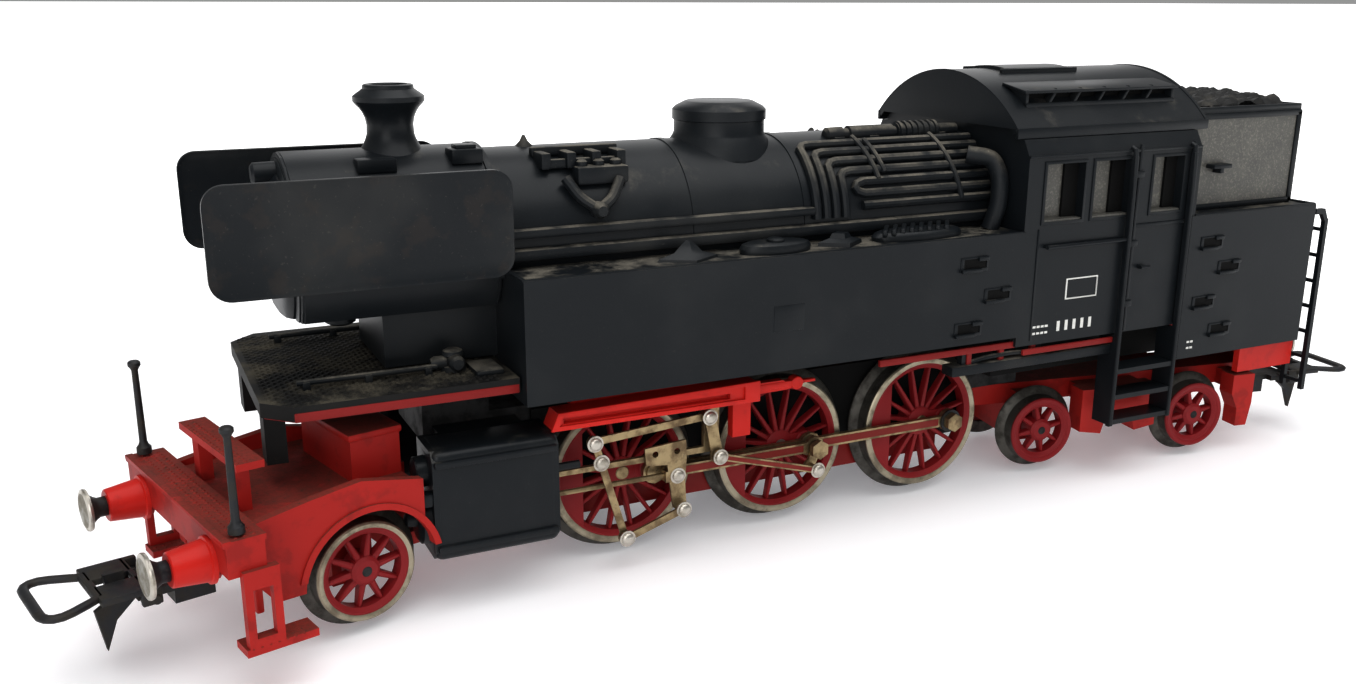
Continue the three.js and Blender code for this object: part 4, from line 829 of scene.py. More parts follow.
def roof():
    """An arched sheet with a raised hatch, a band round each end and a lip along the eaves."""
    drum = turned("X", (0, 0, ROOF_Z), [(30.75, ROOF_R + 0.02), (64.55, ROOF_R + 0.02)], 144)
    sliced(drum, (0, 0, EAVES), (0, 0, -1), fill=False)
    edit(drum)
    pick(drum, lambda co, n: abs(n.x) > 0.9)
    bpy.ops.mesh.delete(type="FACE")
    done()
    modified(drum, "SOLIDIFY", thickness=0.92, offset=-1)
    lip = [block((30.7, 64.6), (s * 15.2, s * 15.78), (49.35, 50.7), 0.12) for s in (LEFT, RIGHT)]
    bands = []
    for x in (30.7, 64.05):
        band = turned("X", (0, 0, ROOF_Z),
                      [(x, ROOF_R - 0.1), (x + 0.05, ROOF_R + 0.1), (x + 0.5, ROOF_R + 0.1),
                       (x + 0.55, ROOF_R - 0.1)], 144)
        bands.append(sliced(band, (0, 0, 50.6), (0, 0, -1)))
    hatch = turned("X", (0, 0, ROOF_Z),
                   [(38.0, ROOF_R), (38.1, ROOF_R + 0.45), (49.3, ROOF_R + 0.45), (49.4, ROOF_R)], 144)
    for s in (LEFT, RIGHT):
        sliced(hatch, (0, s * 3.4, 0), (0, s, 0))
    sliced(hatch, (0, 0, 54), (0, 0, -1))
    runners = [block((37.0, 50.4), (s * 3.7, s * 4.3), (56.7, 57.55), 0.12) for s in (LEFT, RIGHT)]
    return joined(drum, *lip, *bands, hatch, *runners)


settled(roof(), "arched_cab_roof", "engine", body_black, stands_for=["cab_roof"])


def vent_hood():
    """A hooded row of six openings with slanted dividers between them."""
    slope = Matrix.Translation((0, -10.6, 55.45)) @ Matrix.Rotation(math.radians(10), 4, "X")
    cover = block((33.8, 61.0), (-2.5, 2.4), (-0.2, 0.2), 0.1)
    cover.data.transform(slope)
    sill = block((34.2, 60.6), (-12.9, -12.1), (53.0, 53.6), 0.12)
    back = block((34.6, 60.2), (-9.6, -9.0), (54.4, 55.5))
    ends = [block((x, x + 0.5), (-12.7, -9.2), (53.0, 55.35), 0.1) for x in (34.2, 60.1)]
    divider = block((-0.22, 0.22), (-12.6, -9.4), (-1.35, 1.35), 0.08)
    divider.data.transform(Matrix.Rotation(math.radians(32), 4, "Y"))
    shift(divider, 38.8, 0, 54.2)
    return joined(cover, sill, back, *ends, row(divider, 5, x=4.3))


settled(both(vent_hood()), "roof_vent_hoods", "engine", body_black)
# Near-black blocks in the vent gaps: painted shade.
vent_shade_near = block((34.8, 60.0), (-11.4, -9.4), (53.6, 55.3))
settled(both(vent_shade_near), "roof_vent_painted_shade", "engine", shadow_black)


def coal_bed():
    """The top of the coal: a fine grid pushed up into lumps."""
    rest()
    bpy.ops.mesh.primitive_grid_add(x_subdivisions=90, y_subdivisions=110, size=1, location=(0, 0, 0))
    bed = bpy.context.object
    bed.scale = (17.6, 25.6, 1)
    bed = made()
    lumps = bpy.data.textures.new("coal_lumps", "VORONOI")
    lumps.noise_scale = 1.5
    lumps.distance_metric = "DISTANCE"
    modified(bed, "DISPLACE", texture=lumps, strength=-1.5, mid_level=0.5, texture_coords="LOCAL")
    edit(bed)
    bpy.ops.mesh.extrude_region_move(TRANSFORM_OT_translate={"value": (0, 0, 0)})
    done()
    modified(bed, "SOLIDIFY", thickness=1.2, offset=-1)
    for corner in bed.data.vertices:
        corner.co.z -= 0.9 * (corner.co.y / 12.8) ** 2 * 0.8
    shift(bed, 75.2, 0, 51.9)
    return bed


def bunker_details():
    y = 14
    pieces = []
    walls = [block((64.9, 85.4), (s * (y - 0.9), s * (y + 0.04)), (51.4, 52.1), 0.12) for s in (LEFT,
                                                                                                RIGHT)]
    walls.append(block((84.6, 85.44), (-y, y), (51.4, 52.1), 0.12))
    walls.append(block((64.9, 65.6), (-y, y), (51.4, 52.0), 0.12))
    pieces += walls
    near = [block((62.6, 85.4), (-y - 0.3, -y), (50.4, 51.2), 0.12),
            block((84.5, 85.44), (-y - 0.3, -y), (37.6, 51.0), 0.12),
            block((62.5, 85.4), (-y - 0.3, -y), (37.6, 38.3), 0.12),
            block((67.0, 70.6), (-y - 1.6, -y), (43.5, 44.1), 0.15),
            block((68.4, 69.2), (-y - 1.5, -y), (42.8, 43.8), 0.15),
            block((62.4, 86.9), (-BODY_Y + 0.05, -BODY_Y + 0.6), (37.3, 37.65), 0.1)]
    near_side = joined(*near)
    pieces += [near_side, copied(near_side, MIRROR)]
    pieces.append(block((86.5, 87.22), (-BODY_Y + 0.1, BODY_Y - 0.1), (37.3, 37.65), 0.1))
    for s in (LEFT, RIGHT):
        pieces.append(turned("X", (0, s * 8.0, 43.0), [(85.3, 1.3), (85.9, 1.3), (86.0, 0.9)], 24))
    lamp = turned("X", (0, 0, 48.4), [(85.2, 1.3), (86.6, 1.3), (86.9, 0.9)], 24)
    rail = tube(smooth_path([(86.0, -12.0, 38.0), (86.0, -12.0, 49.2), (86.0, 12.0, 49.2),
                             (86.0, 12.0, 38.0)], 4, 0.06), 0.28)
    return joined(*pieces, lamp, rail)


settled(coal_bed(), "coal_bed", "engine", coal_black, angle=20)
settled(bunker_details(), "bunker_details", "engine", body_black)

panel = [block((62.6, 84.5), (s * 14.0, s * 14.06), (38.3, 50.4)) for s in (LEFT, RIGHT)]
settled(joined(*panel), "dusty_bunker_panels", "engine", pane)

emblem = block((39.6, 45.2), (-CAB_Y - 0.09, -CAB_Y + 0.05), (27.6, 30.5), 0.02)
edit(emblem)
pick(emblem, lambda co, n: n.y < -0.9)
bpy.ops.mesh.inset(thickness=0.17, depth=0)
bpy.ops.mesh.extrude_region_move(TRANSFORM_OT_translate={"value": (0, 0.12, 0)})
done()
dashes = [block((38.6 + i * 1.4, 39.1 + i * 1.4), (-CAB_Y - 0.06, -CAB_Y + 0.05),
                (23.3, 24.7)) for i in range(5)]
small = [block((34.4 + i * 0.7, 34.9 + i * 0.7), (-CAB_Y - 0.06, -CAB_Y + 0.05),
               (z, z + 0.3)) for i in range(4) for z in (23.2, 24.1)]
small += [block((63.4 + i * 0.7, 63.9 + i * 0.7), (-BODY_Y - 0.06, -BODY_Y + 0.05),
                (z, z + 0.3)) for i in range(2) for z in (17.8, 18.7)]
print_near = joined(emblem, *dashes, *small)
settled(both(print_near), "plain_side_markings", "engine", pale_print)

# ---------------------------------------------------------------- deflectors and footplate


def deflector(side):
    y = side * 15.1
    x0, x1, z0, z1 = -68.3, -37.1, 37.7, 49.3
    sheet = block((x0, x1), (y - 0.42, y + 0.42), (z0, z1))
    edit(sheet, "EDGE")
    pick(sheet, lambda a, b: abs(a.y - b.y) > 0.5, "EDGE")
    bpy.ops.mesh.bevel(offset=2.2, segments=8, affect="EDGES")
    pick(sheet, lambda co, n: abs(n.y) > 0.9)
    bpy.ops.mesh.inset(thickness=0.5, depth=-0.24, use_individual=True)
    done()
    rounded(sheet, 0.08, 1)
    reach = 11.3
    stays = [block((x, x + 1.0), (side * reach, y), (z, z + 0.8), 0.1) for x in (-57,
                                                                                 -45) for z in (40.8,
                                                                                                45.6)]
    return joined(sheet, *stays)


for side_name, side in SIDES.items():
    settled(deflector(side), f"deflector_sheet_{side_name}", "engine", deflector_black,
            stands_for=[f"smoke_deflector_{side_name}"])


def studs(x, y, z, pitch, size, height):
    """A field of small raised diamonds."""
    rest()
    bpy.ops.mesh.primitive_cone_add(vertices=4, radius1=size, radius2=size * 0.35, depth=height,
                                    location=(x[0], y[0], z))
    stud = made()
    across = int((x[1] - x[0]) / pitch)
    along = int((y[1] - y[0]) / pitch)
    modified(stud, "ARRAY", count=across, use_relative_offset=False, use_constant_offset=True,
             constant_offset_displace=(pitch, 0, 0))
    modified(stud, "ARRAY", count=along, use_relative_offset=False, use_constant_offset=True,
             constant_offset_displace=(0, pitch, 0))
    return stud


def footplate_top():
    field = joined(studs((-63.4, -37.6), (-15.3, 15.6), 26.34, 1.2, 0.52, 0.22),
                   studs((-62.8, -37.6), (-14.7, 15.6), 26.34, 1.2, 0.52, 0.22))
    for s in (LEFT, RIGHT):
        sliced(field, (-63.6, s * 13.4, 0), (-0.7071, s * 0.7071, 0))
    return field


settled(footplate_top(), "footplate_tread", "engine", tread_black)
frame["nodes"]["front_footplate"].data.materials[0] = tread_black


def footplate_fittings():
    pieces = [
        tube([(-60.2, -10.4, 27.1), (-45.0, -10.4, 27.1)], 0.32),
        row(block((-59.6, -58.8), (-10.8, -10.0), (26.2, 27.2), 0.1), 3, x=6.6),
        turned("Z", (-43.0, -9.8, 0),
               [(26.2, 1.5), (26.9, 1.4), (27.0, 1.0), (27.9, 1.0), (28.1, 1.2), (28.6, 1.1),
                                     (28.8, 0.7)], 24),
        turned("Y", (-43.0, 0, 27.5), [(-12.2, 0.6), (-11.8, 0.9), (-9.6, 0.9)], 18),
        turned("X", (0, -9.8, 27.3), [(-45.6, 0.55), (-45.1, 0.8), (-43.0, 0.8)], 18),
        block((-41.4, -38.2), (-13.8, -9.0), (26.2, 26.9), 0.25),
    ]
    near = joined(*pieces)
    return both(near)


settled(footplate_fittings(), "footplate_fittings", "engine", dusty_black)


def edge_strips():
    """Thin red strips under the edges of the footplate and the running boards."""
    near = [block((-61.2, -37.3), (-16.08, -15.5), (24.6, 25.6), 0.08),
            block((-64.2, -61.0), (-16.08, -15.5), (24.6, 25.6), 0.08)]
    slanted = Matrix.Rotation(math.radians(-45), 4, "Z") @ Matrix.Diagonal((1.28, 1, 1, 1))
    near[1].data.transform(about((-61.2, -15.8, 0), slanted))
    near.append(block((10.3, 49.0), (-16.75, -16.2), (21.6, 22.5), 0.1))
    near.append(block((33.0, 49.0), (-17.35, -16.9), (20.5, 21.3), 0.1))
    near.append(row(block((24.2, 25.0), (-16.6, -16.0), (19.8, 22.0), 0.1), 3, x=5.4))
    side_strip = joined(*near)
    return both(side_strip)


settled(edge_strips(), "red_edge_strips", "engine", strip_red)

pipe_run = joined(
    tube(smooth_path([(22.5, -16.0, 19.2), (26.0, -16.4, 20.7), (33.0, -16.6, 21.0),
                      (38.0, -16.3, 19.6)], 4), 0.32),
    block((21.6, 49.0), (-17.05, -14.8), (18.8, 20.15), 0.15),
)
settled(both(pipe_run), "running_board_edges", "engine", dusty_black)

# A near-black block under the cab that shuts out light; its colour is painted shade.
cab_shade_block = block((31.0, 62.0), (-13.4, 13.4), (16.6, 21.9), 0.3)
settled(cab_shade_block, "under_cab_shade_block", "engine", shadow_black)
cover_plate = block((-5.8, -1.6), (-BODY_Y - 0.05, -BODY_Y + 0.1), (28.2, 31.4), 0.04)
settled(both(cover_plate), "tank_side_plates", "engine", body_black)

# ---------------------------------------------------------------- wheels


FLANGE = 1.19  # how far a flange stands past its tread
WHEEL_BACK = 7.0  # from the centre line to the back of a wheel


def tyre(tread_r, rim):
    """A tyre's flange and tread, its outer face towards +y and its wheel's back at y = 0."""
    inner = tread_r - rim
    flange = tread_r + FLANGE
    return spun([(inner, 0.0), (flange - 0.35, 0.0), (flange - 0.02, 0.18), (flange, 0.4),
                 (flange - 0.25, 0.7),
                 (tread_r + 0.12, 1.05), (tread_r, 1.5), (tread_r - 0.04, 2.8), (inner, 2.8)], "Y", (0,
                                                                                                     0, 0), 72)


def tyre_face(tread_r, rim):
    """The bright turned ring on a tyre's outer face."""
    inner = tread_r - rim
    return spun([(inner - 0.02, 2.6), (tread_r - 0.02, 2.6), (tread_r - 0.02, 2.85),
                 (tread_r - 0.22, 3.0),
                 (tread_r - 0.5, 3.0), (inner - 0.02, 2.88)], "Y", (0, 0, 0), 72)


def spoked_centre(tread_r, rim, spokes, hub_r, width, crank=None, weight=0.0):
    inner = tread_r - rim
    ring = spun([(inner - 0.75, 0.9), (inner + 0.1, 0.7), (inner + 0.1, 2.85), (inner - 0.25, 2.85),
                 (inner - 0.75, 2.5)],
                "Y", (0, 0, 0), 72)
    hub = turned("Y", (0, 0, 0),
                 [(0.02, hub_r - 0.2), (0.3, hub_r), (2.6, hub_r * 0.92), (2.9, hub_r * 0.7)], 32)
    arm = block((hub_r * 0.6, inner - 0.3), (1.0, 2.55), (-width / 2, width / 2))
    edit(arm, "VERT")
    pick(arm, lambda co: co.x > hub_r + 0.5, "VERT")
    bpy.ops.transform.resize(value=(1, 0.62, 0.72), center_override=(inner, 1.7, 0))
    done()
    rounded(arm, width * 0.22, 1)
    arms = [copied(arm, Matrix.Rotation(2 * math.pi * (i + 0.5) / spokes, 4, "Y")) for i in range(spokes)]
    bpy.data.objects.remove(arm)
    pieces = [ring, hub, *arms]
    if crank:
        boss = turned("Y", (crank, 0, 0), [(1.0, 1.55), (2.75, 1.45), (2.92, 1.2)], 24)
        web = block((0, crank), (1.0, 2.75), (-1.35, 1.35), 0.2)
        pieces += [boss, web]
    if weight:
        disc = turned("Y", (0, 0, 0), [(1.0, inner - 0.1), (2.7, inner - 0.1), (2.85, inner - 0.35)], 72)
        sliced(disc, (-inner * 0.62, 0, 0), (1, 0, 0))
        pieces.append(disc)
    return joined(*pieces)


def wheel_place(x, side, crank_turn, axle_z):
    """From a wheel modelled with its back at y = 0 and its face at y = 3."""
    out = Matrix.Identity(4) if side == RIGHT else Matrix.Rotation(math.pi, 4, "Z")
    return Matrix.Translation((x, side * WHEEL_BACK, axle_z)) @ Matrix.Rotation(crank_turn, 4, "Y") @ out


DRIVER_X = {"front": -22.5, "drive": 0.0, "rear": 22.5}
DRIVER_Z = 10.4
DRIVER_SIZES = (9.2, 0.85)  # tread radius and depth of the rim
CRANK_R = 3.8
driver_tyre = tyre(*DRIVER_SIZES)
driver_face = tyre_face(*DRIVER_SIZES)
driver_centre = spoked_centre(*DRIVER_SIZES, 16, 2.2, 0.62, CRANK_R, 1.0)
# The crank stands at +x on the left wheels and straight up on the right ones.
CRANK_TURN = {LEFT: math.pi, RIGHT: -math.pi / 2}
DRIVER_NODES = {"front": ["front_wheelset"], "rear": ["rear_wheelset"],
                "drive": ["drive_wheel_left", "drive_wheel_right"]}
PIN_END = {"front": 11.35, "drive": 12.4, "rear": 11.35}


def crank_pin(axle, x, side):
    angle = 0 if side == LEFT else math.pi / 2
    px, pz = x + CRANK_R * math.cos(angle), DRIVER_Z + CRANK_R * math.sin(angle)
    pin = rod("Y", (px, 0, pz), (side * 9.6, side * PIN_END[axle]), 0.74, 24)
    if axle == "front":
        head = turned("Y", (px, 0, pz),
                      sorted([(side * 11.25, 1.2), (side * 11.5, 1.15), (side * 11.58, 0.8)]), 28)
        return joined(pin, head), None
    if axle == "rear":
        washer = turned("Y", (px, 0, pz),
                        sorted([(side * 11.22, 1.6), (side * 11.5, 1.6), (side * 11.52, 1.5)]), 32)
        nut = turned("Y", (px, 0, pz),
                     sorted([(side * 11.5, 1.32), (side * 12.5, 1.32), (side * 12.62, 1.1)]), 6)
        dome = turned("Y", (px, 0, pz), sorted([(side * 12.4, 0.75), (side * 12.68, 0.6)]), 20)
        return joined(pin, nut, dome), washer
    return pin, None


for axle, x in DRIVER_X.items():
    body = f"{axle}_wheelset"
    tyres = joined(*[copied(driver_tyre, wheel_place(x, s, CRANK_TURN[s], DRIVER_Z)) for s in (LEFT,
                                                                                               RIGHT)])
    centres = joined(*[copied(driver_centre, wheel_place(x, s, CRANK_TURN[s], DRIVER_Z)) for s in (LEFT,
                                                                                                   RIGHT)])
    faces = joined(*[copied(driver_face, wheel_place(x, s, CRANK_TURN[s], DRIVER_Z)) for s in (LEFT,
                                                                                               RIGHT)])
    settled(tyres, f"{axle}_tyres", body, tread_metal)
    settled(faces, f"{axle}_tyre_faces", body, tyre_metal)
    settled(centres, f"{axle}_wheel_centres", body, wheel_red, stands_for=DRIVER_NODES[axle])
    made_pins = [crank_pin(axle, x, s) for s in (LEFT, RIGHT)]
    shaft = [rod("Y", (x, 0, DRIVER_Z), (-10.02, 10.02), 0.88, 24, 0.1)] if axle != "drive" else []
    settled(joined(*[p for p, _ in made_pins], *shaft), f"{axle}_crank_pins", body, rod_metal)
    washers = [w for _, w in made_pins if w]
    if washers:
        settled(joined(*washers), f"{axle}_crank_washers", body, dark_metal)

for obj in (driver_tyre, driver_face, driver_centre):
    bpy.data.objects.remove(obj)


CARRYING_RIM = 0.7


def carrying_wheels(node, x, axle_z, tread_r, spokes, place):
    """The two wheels and the axle of an uncoupled wheelset."""
    ring = tyre(tread_r, CARRYING_RIM)
    face = tyre_face(tread_r, CARRYING_RIM)
    centre = spoked_centre(tread_r, CARRYING_RIM, spokes, 1.8, 0.75)
    tyres = joined(*[copied(ring, wheel_place(x, s, 0, axle_z)) for s in (LEFT, RIGHT)])
    centres = joined(*[copied(centre, wheel_place(x, s, 0.2, axle_z)) for s in (LEFT, RIGHT)])
    faces = joined(*[copied(face, wheel_place(x, s, 0, axle_z)) for s in (LEFT, RIGHT)])
    axle = rod("Y", (x, 0, axle_z), (-10.0, 10.0), 0.6, 20, 0.12)
    settled(tyres, f"{node}_tyres", node, tread_metal, place)
    rim_finish = tyre_metal if node == "leading_wheelset" else wheel_red
    settled(faces, f"{node}_tyre_faces", node, rim_finish, place)
    settled(centres, f"{node}_centres", node, wheel_red, place, stands_for=[node])
    settled(axle, f"{node}_axle", node, shaded_cast_metal, place)
    for obj in (ring, face, centre):
        bpy.data.objects.remove(obj)


carrying_wheels("leading_wheelset", -58.6, 6.9, 5.7, 10, "truck")
carrying_wheels("trailing_wheelset_front", 45.2, 6.15, 4.95, 8, "bogie")
carrying_wheels("trailing_wheelset_rear", 71.4, 6.15, 4.95, 8, "bogie")

# ---------------------------------------------------------------- rods and rivets


def rivet(side, at, y):
    """A domed rivet on its washer."""
    x, z = at
    profile = [(-0.05, 1.02), (0.1, 1.02), (0.14, 0.78), (0.34, 0.76), (0.52, 0.6), (0.6, 0.3)]
    return turned("Y", (x, 0, z), sorted((side * (y + t), radius) for t, radius in profile), 24)


def fluting(side, a, b, y, width, inset):
    """A thin painted strip along the face of a rod."""
    a, b = Vector((a[0], 0, a[1])), Vector((b[0], 0, b[1]))
    along = (b - a).normalized()
    start, end = a + along * inset, b - along * inset
    strip = block((0, (end - start).length), (side * (y - 0.05), side * (y + 0.05)),
                  (-width / 2, width / 2), 0.03, 1)
    angle = -math.atan2(along.z, along.x)
    strip.data.transform(Matrix.Translation(start) @ Matrix.Rotation(angle, 4, "Y"))
    return strip


def spot(joint):
    """A joint's place in x and z, in the engine's own millimetres."""
    place = Vector(JOINTS[joint]["pos_m"]) - ORIGIN
    return place.x / MM, place.z / MM


def foot(crosswise, upright, eye):
    """Where a lying rod's front eye meets the lower eye of the lever it hangs from."""
    x = (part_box(crosswise)[0][0] - ORIGIN.x) / MM + eye
    return x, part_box(upright)[0][2] / MM + eye


MAIN_ROD = 20.5
# How far out the faces of the coupling rods, the connecting rods, the levers and the outer rods stand.
COUPLING_FACE, CONNECTING_FACE, LEVER_FACE, OUTER_FACE = 11.2, 12.2, 14.2, 14.8
for side_name, side in SIDES.items():
    angle = 0 if side == LEFT else math.pi / 2
    px, pz = CRANK_R * math.cos(angle), CRANK_R * math.sin(angle)
    crank = (px, DRIVER_Z + pz)
    head = (px - math.sqrt(MAIN_ROD**2 - pz**2), DRIVER_Z)
    pins = [(x + px, DRIVER_Z + pz) for x in DRIVER_X.values()]
    strips = [fluting(side, a, b, COUPLING_FACE, 0.95, 1.9) for a, b in zip(pins, pins[1:])]
    settled(joined(*strips), f"coupling_rod_fluting_{side_name}", f"coupling_rod_{side_name}", inlay_red)
    strip = fluting(side, head, crank, CONNECTING_FACE, 0.9, 1.7)
    settled(strip, f"connecting_rod_fluting_{side_name}", f"connecting_rod_{side_name}", inlay_red)
    lever_top = spot(f"combination_lever_{side_name}_pin")
    lever_foot = foot(f"union_link_{side_name}", f"combination_lever_{side_name}", 0.85)
    link_foot = foot(f"eccentric_rod_{side_name}", f"expansion_link_{side_name}", 0.95)
    return_pin = spot(f"eccentric_rod_{side_name}_pin")
    spindle_pin = tuple(a + (b - a) * 0.2 for a, b in zip(lever_top, lever_foot))
    strip = fluting(side, link_foot, return_pin, OUTER_FACE, 0.5, 1.0)
    settled(strip, f"eccentric_rod_fluting_{side_name}", f"eccentric_rod_{side_name}", inlay_red)
    rivets = {
        f"combination_lever_{side_name}": [(lever_top, LEVER_FACE), (spindle_pin, LEVER_FACE)],
        f"union_link_{side_name}": [(lever_foot, OUTER_FACE),
                                    (spot(f"union_link_{side_name}_pin"), OUTER_FACE)],
        f"expansion_link_{side_name}": [(spot(f"expansion_link_{side_name}_pin"), LEVER_FACE)],
        f"eccentric_rod_{side_name}": [(link_foot, OUTER_FACE)],
        f"crosshead_{side_name}": [(head, 13.65)],
        "drive_wheelset": [(return_pin, 14.7)],
    }
    for body, places in rivets.items():
        heads = joined(*[rivet(side, at, y) for at, y in places])
        settled(heads, f"rivets_{body}_{side_name}", body, bright_metal)


def support_details(side):
    """A rim round the red channel, and the arm with its eye behind it."""
    near, far = 15.3, 15.75
    channel = plate([(-33.6, 19.2), (-32.7, 21.35), (-6.5, 21.8), (-6.5, 19.15)],
                    sorted((side * near, side * far)), 0.1)
    recess = [(-32.6, 19.75), (-32.1, 20.85), (-31.2, 20.95), (-8.6, 21.3), (-8.6, 19.7)]
    cut_with(channel, plate(recess, sorted((side * 14.9, side * 17))))
    arm = block((-7, -1.0), sorted((side * 13.2, side * 14.3)), (19.9, 20.7), 0.15)
    eye = rod("Y", (-0.4, 0, 20.3), (side * 13.1, side * 14.4), 0.85, 20, 0.1)
    tip = block((0.2, 2.4), sorted((side * 13.4, side * 14.1)), (20.1, 20.5), 0.1)
    return joined(channel, arm, eye, tip)


for side_name, side in SIDES.items():
    settled(support_details(side), f"motion_support_rim_{side_name}", "engine", bright_red)

# ---------------------------------------------------------------- plates behind the wheels; the upper pair is painted shade

PLATE_Y = (6.3, 6.8)


def backing(x, z):
    """Two plates between the wheels and the block, one each side; the axles pass through them."""
    return joined(*[block(x, [side * y for y in PLATE_Y], z, 0.1) for side in (LEFT, RIGHT)])


# The upper plates are near-black: painted shade behind the spokes.
backing_shade_plates = backing((-33.0, 32.0), (8.6, 19.2))
settled(backing_shade_plates, "wheel_backing_painted_shade", "engine", shadow_black)
lowers = backing((-26.5, 27.5), (4.6, 8.6))
settled(lowers, "brake_rigging", "engine", strip_red)

# ---------------------------------------------------------------- front truck details


def beam_details():
    pieces = [studs((-74.6, -71.0), (-14.6, 14.9), 16.92, 0.86, 0.36, 0.18)]
    pieces.append(block((-75.25, -74.4), (-15.22, 15.22), (16.5, 17.02), 0.1))
    return joined(*pieces)


settled(beam_details(), "beam_tread", "front_truck", worn_red, "truck")


def truck_details():
    pieces = [studs((-70.7, -68.4), (-8.0, 8.2), 21.83, 0.86, 0.34, 0.16)]
    for s in (LEFT, RIGHT):
        arch = spun([(7.58, s * 10.45), (7.58, s * 11.85), (8.3, s * 11.85), (8.3, s * 10.45)], "Y",
                    (-58.6, 0, 6.9), 64)
        sliced(arch, (0, 0, 8.6), (0, 0, -1))
        pieces.append(arch)
        pieces.append(studs((-73.5, -67.0), sorted((s * 13.2, s * 15.6)), 5.53, 0.86, 0.36, 0.16))
        pieces.append(block((-71.4, -70.6), (s * 9.6, s * 11.7), (6.8, 12.4), 0.2))
    pieces.append(block((-58.3, -51.9), (-6.8, 6.8), (20.6, 21.5), 0.3))
    return joined(*pieces)


settled(truck_details(), "front_frame_details", "front_truck", worn_red, "truck")


BUFFER_Y, BUFFER_Z = 10.2, 13.5


def buffer_set(side, face_x, out):
    """The silver rim, worn face and black shaft of one buffer."""
    def flip(profile):
        return sorted((out * t, r) for t, r in profile)

    centre = (face_x, side * BUFFER_Y, BUFFER_Z)
    rim = turned("X", centre, flip([(-0.72, 1.9), (-0.6, 2.3), (-0.35, 2.36), (-0.2, 2.3), (-0.1, 2.1)]),
                 40)
    face = turned("X", centre, flip([(-0.3, 2.0), (-0.12, 2.0), (-0.03, 1.6), (-0.005, 0.9)]), 40)
    shaft = turned("X", centre, flip([(-4.6, 1.08), (-1.6, 1.08), (-1.2, 1.3), (-0.68, 1.75)]), 32)
    return rim, face, shaft


for side_name, side in SIDES.items():
    for end, face_x, out, place in (("front", -81.4, -1, "truck"), ("rear", 93.6, 1, "engine")):
        body = f"{end}_buffer_{side_name}"
        rim, face, shaft = buffer_set(side, face_x, out)
        settled(rim, f"{body}_rim", body, bright_metal, place)
        settled(face, f"{body}_face", body, buffer_face_metal, place)
        settled(shaft, f"{body}_shaft", body, dark_metal, place, stands_for=[body])


def sleeves(base_x, out):
    pieces = []
    for s in (LEFT, RIGHT):
        centre = (base_x, s * BUFFER_Y, BUFFER_Z)
        outline = [(0.0, 2.5), (0.4, 2.45), (0.5, 2.2), (3.9, 1.8), (4.02, 1.65)]
        pieces.append(turned("X", centre, sorted((out * t, r) for t, r in outline), 40))
    return joined(*pieces)


settled(sleeves(-75.0, -1), "front_buffer_sleeves", "front_truck", bright_red, "truck")
settled(sleeves(88.6, 1), "rear_buffer_sleeves", "engine", bright_red)

for side_name, side in SIDES.items():
    post = turned("Z", (-73.4, side * 14, 0),
                  [(17.2, 0.82), (17.9, 0.8), (18.2, 0.55), (18.6, 0.42), (26.9, 0.35),
                                             (27.2, 0.5), (27.45, 0.68), (27.8, 0.68), (27.98, 0.5)], 24)
    settled(post, f"marker_post_{side_name}_rod", "front_truck", dark_metal, "truck",
            stands_for=[f"marker_post_{side_name}"])


def loop_bow(pivot_x, out):
    """A flat plate slotted for the hook, widening into a bent flat loop."""
    def across(d0, d1, y0, y1, z=(8.87, 9.63)):
        return block((pivot_x + out * d0, pivot_x + out * d1), (y0, y1), z, 0.14)

    half = [(13.5, 3.0), (14.8, 3.75), (16.2, 4.5), (17.2, 4.85), (18.0, 4.75), (18.55, 4.3),
            (18.85, 3.6), (18.9, 2.6)]
    rim = half + [(d, -y) for d, y in reversed(half)]
    bow = tube([(pivot_x + out * d, y, 9.25) for d, y in rim], 0.55, closed=True, sides=6, flat=0.75)
    cheeks = [across(9.1, 13.6, s * 0.85, s * 4.6) for s in (LEFT, RIGHT)]
    bars = [across(9.0, 9.6, -4.4, 4.4), across(13.0, 13.9, -3.4, 3.4)]
    ears = [across(7.8, 9.8, s * 3.85, s * 4.6, (7.6, 9.62)) for s in (LEFT, RIGHT)]
    pins = [rod("Y", (pivot_x + out * 8.4, 0, 8.1), (s * 3.2, s * 4.8), 0.5, 16, 0.08) for s in (LEFT,
                                                                                                 RIGHT)]
    return joined(bow, *cheeks, *bars, *ears, *pins)


settled(loop_bow(-70.4, -1), "front_loop_bow", "front_loop", dark_metal, "truck",
        stands_for=["front_loop"])
settled(loop_bow(85.4, 1), "rear_loop_bow", "rear_loop", dark_metal, "bogie",
        stands_for=["rear_loop"])

# ---------------------------------------------------------------- cylinders


def cylinder_details(side):
    y_out = 16.35
    pieces = [
        block((-47.65, -32.95), (side * 9.6, side * y_out), (6.15, 19.05), 0.95, 4),
        block((-47.4, -33.2), (side * 15.2, side * 16.75), (17.2, 18.1), 0.3),
        block((-47.4, -33.2), (side * 15.2, side * 16.75), (7.2, 8.1), 0.3),
        turned("X", (0, side * 12.9, 16), [(-49.1, 0.9), (-48.8, 1.75), (-47.5, 1.8)], 28),
        turned("X", (0, side * 12.8, 10.4), [(-48.9, 2.4), (-48.6, 2.9), (-47.5, 3.0)], 36),
        turned("X", (0, side * 12.8, 10.4), [(-50.2, 0.5), (-50.0, 0.8), (-48.8, 0.9)], 20),
        block((-49.3, -47.5), (side * 14.6, side * 16.2), (12.8, 14.4), 0.3),
    ]
    return joined(*pieces)


for side_name, side in SIDES.items():
    settled(cylinder_details(side), f"cylinder_casing_{side_name}", "engine", body_black)

# ---------------------------------------------------------------- floor, light and camera


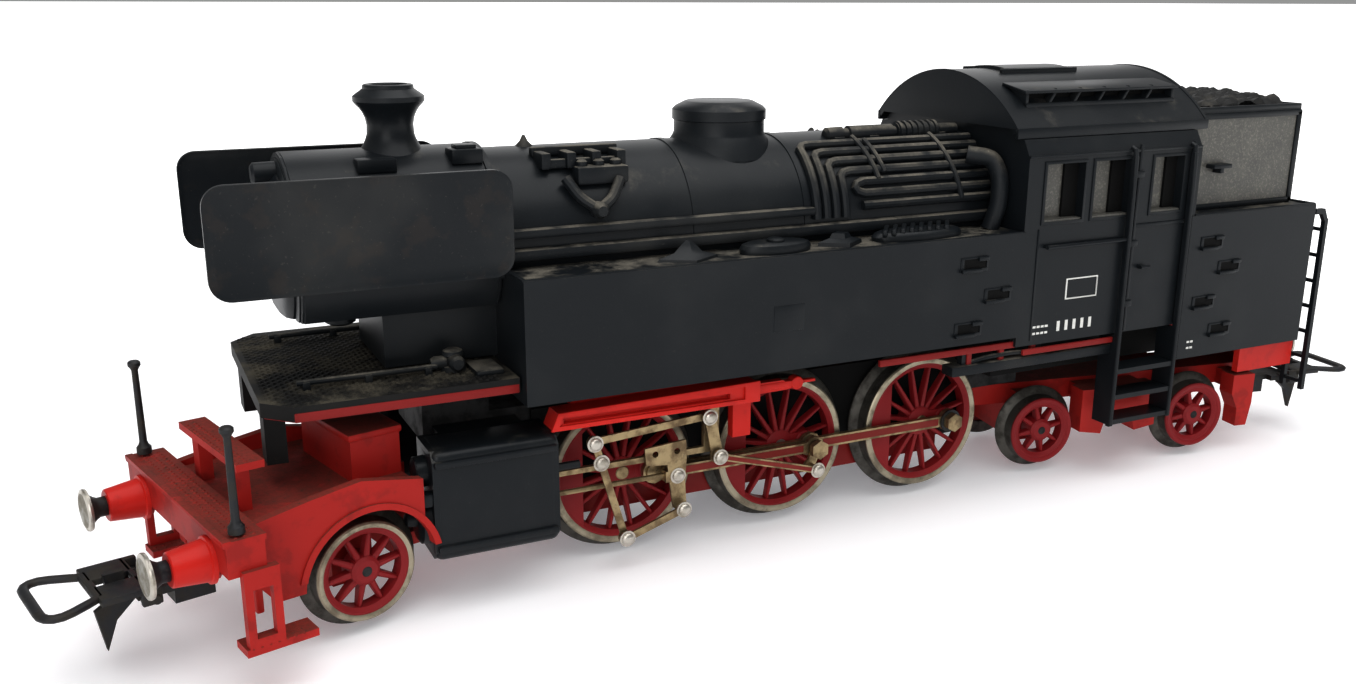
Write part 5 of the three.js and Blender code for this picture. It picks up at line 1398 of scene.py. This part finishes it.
def studio():
    rest()
    bpy.ops.mesh.primitive_plane_add(size=80.0, location=(0, 0, -0.0004))
    floor = bpy.context.object
    floor.name = "studio_floor"
    f = Finish("pale_floor_painted_glow")
    f.set(Base_Color=f.mix((0.86, 0.86, 0.87), (0.9, 0.9, 0.9), f.noise(60.0)))
    x, y = f.axis("X"), f.axis("Y")
    # The floor glows, dim near the engine and full white further out: painted light for a bright room.
    far = (x * x + y * y).over(0.012, 0.06)
    f.set(Roughness=0.6, Emission_Strength=1.0)
    f.set(Emission_Color=f.mix((0.22, 0.22, 0.23), (1.0, 1.0, 1.0), far))
    floor.data.materials.append(f.material)

    def lamp(name, place, target, size, energy, colour=(1, 1, 1)):
        light = bpy.data.lights.new(name, "AREA")
        light.shape = "SQUARE"
        light.size = size
        light.energy = energy
        light.color = colour
        obj = bpy.data.objects.new(name, light)
        bpy.context.collection.objects.link(obj)
        obj.location = place
        obj.rotation_euler = (Vector(target) - Vector(place)).to_track_quat("-Z", "Y").to_euler()

    lamp("overhead_softbox", (0.05, -0.12, 0.62), (0, 0, 0), 0.75, 4.6)
    lamp("front_softbox", (-0.42, -0.55, 0.3), (0, 0, 0.02), 0.45, 1.7)
    lamp("back_softbox", (0.3, 0.6, 0.35), (0, 0, 0.03), 0.6, 1.2)
    world = bpy.data.worlds.new("pale_room") if not bpy.context.scene.world else bpy.context.scene.world
    bpy.context.scene.world = world
    world.use_nodes = True
    world.node_tree.nodes["Background"].inputs["Color"].default_value = (1, 1, 1, 1)
    world.node_tree.nodes["Background"].inputs["Strength"].default_value = 0.36
    bpy.context.scene.view_settings.view_transform = "Standard"
    bpy.context.scene.view_settings.gamma = 0.86

    camera = bpy.data.cameras.new("camera")
    camera.lens = 32.51
    camera.sensor_width = 36
    camera.clip_start = 0.005
    eye = bpy.data.objects.new("camera", camera)
    bpy.context.collection.objects.link(eye)
    eye.location = ORIGIN + Vector((-77.32, -140.09, 66.49)) * MM
    eye.rotation_euler = (math.radians(90 - 15.58), math.radians(-0.13), math.radians(-25.57))
    bpy.context.scene.camera = eye


studio()
rest()
